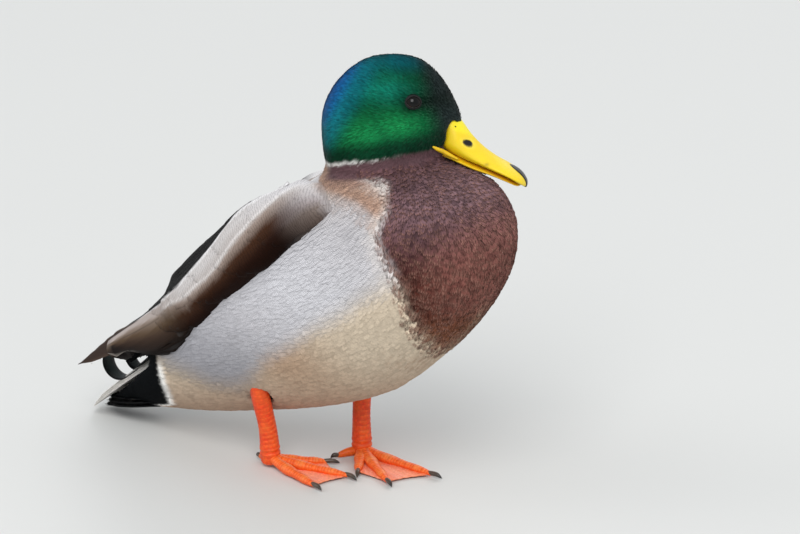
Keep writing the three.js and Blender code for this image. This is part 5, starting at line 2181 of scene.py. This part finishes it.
@dataclass
class Bill:
    """The yellow bill with its nostrils and its black nail."""

    upper: Loft = Loft((
        (29, -6, 27, -22, 5, 0), (36, -2, 31, -25, 9.5, -0.05), (44.0, -8.2, 38, -28.6, 10.9, -0.22),
        (51, -18, 46.5, -32.6, 10.2, -0.4), (58, -25.6, 55, -36, 10, -0.45), (66, -32, 63, -39.3, 10.4, -0.4),
        (74, -37.2, 72, -43.2, 11.2, -0.3), (80.5, -42, 79, -47.8, 9.6, -0.2),
        (83.8, -46.4, 82.8, -50.6, 5, -0.1), (84.2, -49.3, 84, -50.2, 0.1, 0),
    ))
    lower: Loft = Loft((
        (28, -26, 28, -27, 2, 0), (33, -26.5, 32, -29.5, 8, 0.1), (42, -31, 41, -35, 8.6, 0.2),
        (52, -36, 51, -40, 8.4, 0.3), (62, -40, 61, -43.4, 8.4, 0.3), (71, -44.2, 70, -46.8, 8.8, 0.3),
        (78, -48.4, 77.5, -50.4, 6.5, 0.2), (81, -50.6, 80.8, -51.2, 0.1, 0),
    ))
    # The fold at a corner of the mouth: ahead, aside and up.
    corner: tuple[Point, ...] = (
        (27.2, 17.2, -19.8), (30.0, 16.0, -22.0), (34.0, 12.0, -25.2), (38.5, 10.4, -28.2),
        (43.0, 9.8, -30.8),
    )
    nostril: tuple[float, float] = (48.6, -21.3)  # ahead and up
    nostril_half: tuple[float, float] = (3.2, 1.5)
    nostril_slope: float = 32.0
    smudge: tuple[float, float] = (59.9, -33.8)
    nail_centre: Point = (76.0, 0.0, -45.0)
    nail_half: tuple[float, float] = (5.4, 8.5)  # aside, and back from the tip

    def world(self, ahead: Array, aside: Array, up: Array) -> Array:
        """Points in the frame from their places in the head's own frame."""
        level = ahead[..., None] * HEAD.ahead + aside[..., None] * HEAD.aside
        return np.array(HEAD.centre) + level + up[..., None] * UPWARDS

    def nostril_share(self, ahead: Array, aside: Array, up: Array, grow: float = 1.0) -> Array:
        """How deep places lie in a nostril.

        Args:
            ahead: Their places ahead of the head's middle.
            aside: Their places to its left.
            up: Their places over it.
            grow: How much larger than life the nostril is taken.

        Returns:
            Shares from 0 to 1.
        """
        slope = math.radians(self.nostril_slope)
        dx, dz = ahead - self.nostril[0], up - self.nostril[1]
        along = (dx * math.cos(slope) - dz * math.sin(slope)) / (self.nostril_half[0] * grow)
        over = (dx * math.sin(slope) + dz * math.cos(slope)) / (self.nostril_half[1] * grow)
        return np.exp(-(np.hypot(along, over) ** 8)) * ease(1.5, 3, np.abs(aside))

    def build(self, skin: Skin) -> None:
        """Builds the upper bill, the lower bill and the nail.

        Args:
            skin: The skin from which the corners of the mouth stand out.
        """
        horn = HornFinish("bill_horn")
        ahead, aside, up = self.upper.grid(110, 120)
        hole = self.nostril_share(ahead, aside, up)
        rim = self.nostril_share(ahead, aside, up, 1.7) - hole
        level = ahead * 0.55 + up
        low = ease(11.2, 8.2, level) * ease(26, 34, ahead)
        groove = hump(level, 8.6, 0.7) * ease(48, 56, ahead) * ease(82, 76, ahead)
        pinch = hump(up, -14, 7) * ease(43, 34, ahead)
        aside = aside * (1 - 0.16 * hole + 0.02 * rim - 0.03 * groove - 0.22 * pinch)
        yellow = blend(tint("#fbe820"), tint("#ecbc1c"), 0.5 * low)
        colour = layered(
            yellow,
            ("#e2c30c", 0.6 * ease(46, 34, ahead)),
            ("#fbe24e", 0.6 * rim),
            # painted shade: the nostril's hole is painted near black for the dark inside it
            ("#020100", np.clip(hole * 2.2, 0, 1)),
            ("#6d4a16", 0.5 * hump(ahead, self.smudge[0], 1.4) * hump(up, self.smudge[1], 0.9)),
        )
        self.piece("bill_upper_horn", self.world(ahead, aside, up), colour, horn, "bill_upper", "bill_horn")
        ahead, aside, up = self.lower.grid(80, 80)
        aside, up = 1.09 * aside, up + 0.9 * ease(32, 40, ahead)
        colour = blend(tint("#eec51a"), tint("#d59a1c"), ease(-1.0, 1.5, up + 0.5 * ahead + 9.3))
        self.piece("bill_lower_horn", self.world(ahead, aside, up), colour, horn, "bill_lower", "bill_horn")
        for side in Side:
            self.gape(side, skin, horn)
        self.nail()

    def nail(self) -> None:
        """Builds the black nail, a cap over the tip of the upper bill."""
        ahead, aside, up = self.upper.grid(60, 90, 0.62)
        wide, long = self.nail_half
        shape = np.hypot(aside / wide, np.maximum(84.5 - ahead - 0.4 * (up + 46), 0) / long)
        over = ease(1.0, 0.72, shape)
        away = np.stack([ahead, aside, up], axis=-1) - self.nail_centre
        away = away + unit(away) * (0.55 * over - 0.9 * (1 - over))[..., None]
        ahead, aside, up = np.moveaxis(away + self.nail_centre, -1, 0)
        horn = HornFinish("nail_horn", rough=0.3, stain=tint("#3a3128"), stain_share=0.4)
        colour = blend(tint("#3d3220"), tint("#14110e"), over)
        self.piece("bill_nail_horn", self.world(ahead, aside, up), colour, horn, "bill_nail", "bill_nail")

    def fold(self, side: Side, skin: Skin) -> Array:
        """The line of the fold at one corner of the mouth, where it stands out of the skin.

        Args:
            side: The corner's side.
            skin: The skin.

        Returns:
            24 points.
        """
        ahead, aside, up = spline(self.corner, np.linspace(0, 1, 24)).T
        line = self.world(ahead, aside * side.value, up)
        spots, ways = skin.form.settle(line)
        out = np.sum((line - spots) * ways, axis=1)
        return np.where((out < 0.6)[:, None], spots + 0.6 * ways, line)

    def gape(self, side: Side, skin: Skin, horn: HornFinish) -> None:
        """Adds the fold of yellow skin at one corner of the mouth.

        Args:
            side: The corner's side.
            skin: The skin.
            horn: Its finish.
        """
        at = np.linspace(0, 1, 24)
        line = self.fold(side, skin)
        radii = 0.25 + 1.15 * np.sin(math.pi * np.clip(at * 0.9 + 0.05, 0, 1))
        patch = Patchwork()
        patch.add(tube(line, radii, 16, UPWARDS), tint("#eec41c"), ring=True, capped=True)
        mount(patch.build(f"gape_{side.word}", horn.build()), "bill_horn")

    def piece(self, name: str, grid: Array, colour: Array, finish: HornFinish, node: str, slot: str) -> None:
        """Makes one closed piece of horn from a ring grid.

        Args:
            name: The piece's name.
            grid: Its points.
            colour: A colour for each point.
            finish: Its finish.
            node: The frame node that it stands for.
            slot: The slot of its look.
        """
        patch = Patchwork()
        patch.add(grid[:, ::-1], colour[:, ::-1], ring=True, capped=True)
        mount(patch.build(name, finish.build()), slot, node)


@dataclass
class Eye:
    """One eye with its lid."""

    side: Side
    radius: float = 5.4
    open_wide: float = 3.9
    open_tall: float = 3.3
    seat: float = 3.6  # how high over the ball's middle the lid meets the feathers
    lid: tuple[float, float] = (5.1, 4.5)  # the lid's outer half length and half height
    lid_thick: float = 1.1
    near: int = 220  # how many points of the skin say which way the eye faces

    def build(self, skin: Skin) -> None:
        """Builds the ball and the ring of the lid.

        Args:
            skin: The skin in which the eye sits.
        """
        centre = node_centre(f"eye_{self.side.word}")
        nearest = np.argsort(np.linalg.norm(skin.points - centre, axis=1))[: self.near]
        way = unit(skin.normals[nearest].mean(axis=0))
        run = unit(HEAD.ahead - way * (HEAD.ahead @ way))
        self.ball(centre, way, run)
        self.eyelid(centre, way, run)

    def ball(self, centre: Array, way: Array, run: Array) -> None:
        """Builds the ball.

        Args:
            centre: Its middle.
            way: The way that it looks.
            run: The way ahead along the face.
        """
        polar, turn = np.linspace(0.004, math.pi - 0.004, 40)[:, None], around(64)
        out = (
            np.cos(polar)[..., None] * way + (np.sin(polar) * np.cos(turn))[..., None] * run
            + (np.sin(polar) * np.sin(turn))[..., None] * np.cross(way, run)
        )
        angle = np.degrees(polar) + 0 * turn
        colour = blend(tint("#010101"), tint("#120906"), ease(27, 31, angle))
        colour = layered(colour, ("#070403", ease(42, 52, angle)))
        patch = Patchwork()
        patch.add(centre + out * self.radius, colour, ring=True, capped=True)
        ball = patch.build(f"eye_ball_{self.side.word}", EyeFinish("eye_gloss").build())
        mount(ball, "eye", f"eye_{self.side.word}")

    def eyelid(self, centre: Array, way: Array, run: Array) -> None:
        """Builds the ring of bare skin round the ball.

        Args:
            centre: The ball's middle.
            way: The way that it looks.
            run: The way ahead along the face.
        """
        up = np.cross(way, run) * -self.side.value
        phi = np.linspace(0, 2 * math.pi, 73)[:, None]
        across = np.linspace(0, 1, 15)[None, :]
        inner = np.stack([self.open_wide * (1 + 0.14 * np.cos(phi) ** 8), 0 * phi + self.open_tall], axis=-1)
        size = blend(inner, np.array(self.lid), across)
        flat_run, flat_up = size[..., 0] * np.cos(phi), size[..., 1] * np.sin(phi)
        ball = np.sqrt(np.maximum(self.radius**2 - flat_run**2 - flat_up**2, 0.3))
        fold = 0.25 * hump(across, 0.0, 0.12) + 0.1 * hump(across, 0.4, 0.08)
        top = np.maximum(ball + 0.22 + fold, self.seat - 0.4)
        colour = blend(tint("#010202"), tint("#3f3a35"), hump(across, 0.02, 0.1) * (0.5 - 0.5 * np.sin(phi)))
        flat = centre + flat_run[..., None] * run + flat_up[..., None] * up
        outside, inside = (flat + high[..., None] * way for high in (top, top - self.lid_thick))
        ring = Patchwork()
        grid = np.concatenate([outside, inside[:, ::-1]], axis=1)
        ring.add(grid, np.concatenate([colour, colour[:, ::-1]], axis=1), ring=True)
        finish = HornFinish("lid_skin", rough=0.8, stain_share=0.0)
        lid = ring.build(f"eyelid_{self.side.word}", finish.build())
        whole = bmesh.new()
        whole.from_mesh(lid.data)
        bmesh.ops.remove_doubles(whole, verts=whole.verts, dist=1e-6)
        bmesh.ops.recalc_face_normals(whole, faces=whole.faces)
        whole.to_mesh(lid.data)
        whole.free()
        mount(lid, "green_head")


# ---- Legs and feet ----


def tube(line: Array, radii: Array, columns: int, reference: Array, flat: float = 1.0) -> Array:
    """A grid of rings round a line.

    Args:
        line: The middle line.
        radii: The radius at each of its points, or at each point of each ring.
        columns: How many points lie round it.
        reference: A way that is never along the line; the first column faces it.
        flat: How far the rings are pressed along the reference.

    Returns:
        Points whose faces look outwards.
    """
    run = unit(np.gradient(line, axis=0))
    first = unit(reference - run * (run @ reference)[:, None])
    second = np.cross(first, run)
    turn = around(columns)
    size = radii if np.ndim(radii) == 2 else np.asarray(radii)[:, None]
    out = (size * np.cos(turn) * flat)[..., None] * first[:, None]
    return line[:, None] + out + (size * np.sin(turn))[..., None] * second[:, None]


def closed_ends(f: Array, blunt: float) -> Array:
    """A share that rounds a tube's ends off."""
    return np.maximum(np.sin(math.pi * np.clip(f, 0, 1)), 0.0001) ** (1 / blunt)


@dataclass
class Leg:
    """One leg with its foot: shank, toes, webs and claws."""

    side: Side
    ankle: tuple[float, float]
    toes: dict[str, Point]  # azimuth, length, turn of the claw
    hallux: tuple[float, float]  # azimuth and length
    lean: float = -3.5
    hock: float = 60.0
    outward: float = 8.0  # how far the leg leans out at its top
    scute: float = 3.1  # the height of the plates down the shank
    toe_scute: float = 2.1
    ribs: float = 34.0  # how fast the folds of a web follow each other
    floor: float = 0.05
    toe_claw: float = 7.5
    hallux_claw: float = 4.0

    def compass(self, degrees: float) -> Array:
        """A level way at an angle."""
        return np.array([math.cos(math.radians(degrees)), math.sin(math.radians(degrees)), 0.0])

    def base(self) -> Array:
        """The ankle's place on the floor."""
        return np.array([*self.ankle, 0.0])

    def hallux_tip(self) -> Array:
        """The end of the hind toe."""
        return self.base() + self.compass(self.hallux[0]) * self.hallux[1] + 2.6 * UPWARDS

    def toe_line(self, azimuth: float, length: float, at: Array) -> Array:
        """The middle line of a toe."""
        heights = spline([[6.2], [4.4], [3.3], [2.9], [2.6], [2.2]], at)
        return self.base() + (at * length)[:, None] * self.compass(azimuth) + heights * UPWARDS

    def shank(self) -> Patchwork:
        """The leg with overlapping scutes down its front.

        Returns:
            The shank in a patchwork.
        """
        f = np.linspace(0, 1, 150)
        x, y, _ = self.base()
        out = self.outward * self.side.value
        line = spline([
            [x, y, 1.4], [x, y, 9], [x + self.lean * 0.3, y + 0.15 * out, 26],
            [x + self.lean * 0.8, y + 0.6 * out, 44], [x + self.lean, y + out, self.hock],
        ], f)
        radii = spline([[6.6], [6.2], [5.4], [6.0], [7.2]], f)[:, 0] * closed_ends(f, 7)
        turn = around(40)
        front = ease(-0.2, 0.5, np.cos(turn))
        z = line[:, 2:3]
        steps = ((z + 0.35 * np.sin(1.9 * z) + 0.5 * np.sin(turn)) / self.scute) % 1.0
        scutes = 0.4 * steps**0.7 * front * (0.4 + 0.6 * ease(30, 16, z))
        small = 0.16 * np.sin(z * 3.4 + 2.2 * np.cos(7 * turn)) * np.cos(7 * turn + z) * (1 - front)
        fold = 0.35 * hump(z, 8.5, 1.2) + 0.3 * hump(z, 12, 1.0) - 0.3 * hump(z, 10.2, 0.8)
        size = radii[:, None] + (scutes + small + fold) * closed_ends(f, 3)[:, None]
        colour = layered(
            blend(tint("#ea451c"), tint("#f5602a"), (steps**2) * front),
            ("#b8401c", 0.32 * hump(steps, 0.04, 0.09) * front),
            ("#d8481c", 0.5 * (1 - front)),
        )
        patch = Patchwork()
        ahead = np.array([1.0, 0.25 * self.side.value, 0.0])
        patch.add(tube(line, size, 40, ahead), colour, ring=True, capped=True)
        return patch

    def foot(self) -> Patchwork:
        """Toes with knuckles and scutes, and the webs between them.

        Returns:
            The foot in a patchwork.
        """
        patch = Patchwork()
        for name, (azimuth, length, _) in self.toes.items():
            f = np.linspace(0, 1, 90)
            line = self.toe_line(azimuth, length, f)
            radii = spline([[4.5], [3.6], [3.8], [2.9], [3.1], [2.3]], f)[:, 0] * closed_ends(f, 5)
            turn = around(24)
            top = ease(-0.1, 0.6, np.cos(turn))
            steps = (f[:, None] * length / self.toe_scute) % 1.0
            size = radii[:, None] + 0.3 * steps**0.7 * top * closed_ends(f, 3)[:, None]
            grid = tube(line, size, 24, UPWARDS, 0.85)
            grid[..., 2] = np.maximum(grid[..., 2], self.floor)
            joints = hump(f[:, None], 0.4, 0.05) + hump(f[:, None], 0.8, 0.04)
            colour = layered(
                blend(tint("#f25a1c"), tint("#f98446"), steps**2 * top),
                ("#f79a54", 0.4 * joints * top),
                ("#a83a12", 0.35 * hump(steps, 0.05, 0.1) * top),
            )
            patch.add(grid, colour, ring=True, capped=True)
        f = np.linspace(0, 1, 40)
        middle = self.base() + self.compass(self.hallux[0]) * self.hallux[1] / 2 + 4.2 * UPWARDS
        line = spline([self.base() + 4.4 * UPWARDS, middle, self.hallux_tip()], f)
        radii = spline([[3.2], [2.8], [1.8]], f)[:, 0] * closed_ends(f, 5)
        patch.add(tube(line, radii, 18, UPWARDS), tint("#e05c1c"), ring=True, capped=True)
        for first, second in (("inner", "middle"), ("middle", "outer")):
            self.web(patch, self.toes[first], self.toes[second])
        return patch

    def web(self, patch: Patchwork, near: Point, far: Point) -> None:
        """Adds the thin web between two toes.

        Args:
            patch: The patchwork that takes it.
            near: The first toe.
            far: The second toe.
        """
        rows, columns = 40, 30
        g = np.linspace(0, 1, columns)
        scoop = 1 - 0.05 * np.sin(math.pi * g) ** 0.8
        grid = np.empty((rows, columns, 3))
        for j, share in enumerate(g):
            at = np.linspace(0.03, 0.98 * scoop[j], rows)
            a, b = (self.toe_line(azimuth, length, at) for azimuth, length, _ in (near, far))
            grid[:, j] = a * (1 - share) + b * share
        f, g = np.linspace(0, 1, rows)[:, None], g[None, :]
        middle = np.sin(math.pi * g)
        fan = 0.12 * np.sin(g * self.ribs) * ease(0.1, 0.5, f)
        wrinkle = 0.1 * np.sin(f * 60 + 1.3 * np.sin(g * 9))
        sag = 2.4 * (1 - middle**0.45) * (1 - 0.55 * f)
        grid[..., 2] = 1.3 + sag + 1.5 * ease(0.3, 0, f) + fan + wrinkle
        colour = blend(tint("#f46e34"), tint("#fca084"), middle * ease(0.05, 0.5, f))
        colour = layered(colour, ("#ea7050", 0.4 * hump(np.sin(g * self.ribs), 1, 0.5) * middle))
        patch.vane(grid, np.broadcast_to(UPWARDS, grid.shape), 1.3, colour, 0.5)

    def claw(self, azimuth: float, turn: float, tip: Array, length: float, name: str) -> None:
        """Builds one claw and lets it stand for its node.

        Args:
            azimuth: The toe's azimuth.
            turn: How far the claw turns from the toe's way.
            tip: The toe's end.
            length: The claw's length.
            name: The toe's name.
        """
        run = self.compass(azimuth + turn)
        places = ((-0.5, 0.3), (0.35, 0.7), (0.75, 0.0), (1.0, -0.9))
        spots = [tip + run * a * length + h * UPWARDS for a, h in places]
        f = np.linspace(0, 1, 30)
        radii = spline([[1.7], [1.5], [0.95], [0.3]], f)[:, 0] * closed_ends(f, 5)
        grid = tube(spline(spots, f), radii, 18, UPWARDS)
        grid[..., 2] = np.maximum(grid[..., 2], self.floor)
        colour = blend(tint("#4a3d33"), tint("#1d1815"), ease(0.2, 0.8, f)[:, None] * np.ones((1, 18)))
        patch = Patchwork()
        patch.add(grid, colour, ring=True, capped=True)
        finish = HornFinish("claw_horn", rough=0.35, stain=tint("#80705c"), stain_share=0.3)
        made = patch.build(f"claw_horn_{self.side.word}_{name}", finish.build())
        mount(made, "claw", f"claw_{self.side.word}_{name}")

    def build(self) -> None:
        """Builds the leg, the foot and the claws."""
        for kind, patch, finish, slot in (
            ("leg", self.shank(), ScaleFinish("leg_scutes", cell=520, relief=0.4), "leg_scutes"),
            ("foot", self.foot(), ScaleFinish("foot_skin", cell=700, relief=0.35), "foot_webs"),
        ):
            made = patch.build(f"{kind}_skin_{self.side.word}", finish.build())
            mount(made, slot, f"{kind}_{self.side.word}")
        for name, (azimuth, length, turn) in self.toes.items():
            tip = self.toe_line(azimuth, length, np.array([1.0]))[0]
            self.claw(azimuth, turn, tip, self.toe_claw, name)
        self.claw(self.hallux[0], 0.0, self.hallux_tip(), self.hallux_claw, "hallux")


LEGS = (
    Leg(
        Side.RIGHT, (-5.303, -22.4),
        {"inner": (37, 35, 0), "middle": (10, 53.5, -24), "outer": (-19.5, 48.5, 0)}, (160, 11),
    ),
    Leg(
        Side.LEFT, (31.097, 22.4),
        {"inner": (-58, 31, 0), "middle": (-35.5, 50.5, 0), "outer": (-3.8, 56, 0)}, (-125, 16),
    ),
)


# ---- Studio ----


@dataclass
class Studio:
    """The floor, the lights and the camera."""

    target: Point = (0.0311, 0.0622, 0.1115)
    azimuth: float = 36.0
    elevation: float = 19.5
    distance: float = 5.42
    lens: float = 400.0
    far: float = 50.0
    floor_half: float = 9.0
    sky: tuple[float, ...] = (0.93, 0.96, 1.0, 1.0)
    sky_strength: float = 0.75
    # The lamps: where each stands, its size and its watts.
    lamps: tuple[tuple[str, Point, float, float], ...] = (
        ("key", (1.6, -2.6, 3.2), 2.4, 110),
        ("side", (-2.8, -1.8, 2.2), 2.2, 30),
        ("back", (-1.0, 3.2, 2.6), 2.0, 32),
    )

    def build(self) -> None:
        """Sets the stage."""
        mesh = bpy.data.meshes.new("floor")
        h = self.floor_half
        mesh.from_pydata([(-h, -h, 0), (h, -h, 0), (h, h, 0), (-h, h, 0)], [], [(0, 1, 2, 3)])
        mesh.materials.append(FloorFinish("floor").build())
        placed(mesh, "floor")
        world = bpy.data.worlds.new("studio")
        world.use_nodes = True
        background = world.node_tree.nodes["Background"]
        background.inputs["Color"].default_value = self.sky
        background.inputs["Strength"].default_value = self.sky_strength
        bpy.context.scene.world = world
        bpy.context.scene.view_settings.view_transform = "Standard"
        for name, spot, size, watts in self.lamps:
            self.lamp(name, spot, size, watts)
        self.camera()

    def lamp(self, name: str, spot: Point, size: float, watts: float) -> None:
        """Adds a soft lamp that looks at the bird.

        Args:
            name: Its name.
            spot: Where it stands, in metres.
            size: The length of its sides.
            watts: Its power.
        """
        light = bpy.data.lights.new(name, "AREA")
        light.size = size
        light.energy = watts
        made = bpy.data.objects.new(name, light)
        made.location = spot
        made.rotation_euler = (Vector(self.target) - Vector(spot)).to_track_quat("-Z", "Y").to_euler()
        bpy.context.scene.collection.objects.link(made)

    def camera(self) -> None:
        """Adds the camera."""
        data = bpy.data.cameras.new("view")
        data.lens = self.lens
        data.clip_end = self.far
        a, e = math.radians(self.azimuth), math.radians(self.elevation)
        back = Vector((math.sin(a) * math.cos(e), -math.cos(a) * math.cos(e), math.sin(e)))
        made = bpy.data.objects.new("view", data)
        made.location = Vector(self.target) + back * self.distance
        made.rotation_euler = (-back).to_track_quat("-Z", "Y").to_euler()
        bpy.context.scene.collection.objects.link(made)
        bpy.context.scene.camera = made


# The surface on which the wings are laid: its solids, the size of its faces and how often it is smoothed.
WING_SOLIDS = ("torso", "rump", "neck", "wing_right", "wing_left", "scapulars_right", "scapulars_left")
WING_VOXEL = 2.2
WING_ROUNDS = 24


def main() -> None:
    """Builds the bird in order."""
    logging.basicConfig(level=logging.INFO, format="%(message)s")
    skin = Skin()
    skin.build()
    skin.dress(PlumageFinish("skin_down", rough=0.85, barbs=0.1).build())
    form = Form(fused(WING_SOLIDS, "form", WING_VOXEL, WING_ROUNDS))
    form.tuck(skin.form)
    for side in Side:
        Wing(side).build(form)
    Tail().build()
    bill = Bill()
    bill.build(skin)
    for side in Side:
        Eye(side).build(skin)
    for leg in LEGS:
        leg.build()
    Coat().build(skin, form, np.concatenate([bill.fold(side, skin) for side in Side]))
    bed(form, PlumageFinish("bed_down", rough=0.7))
    Studio().build()


if __name__ == "__main__":
    main()
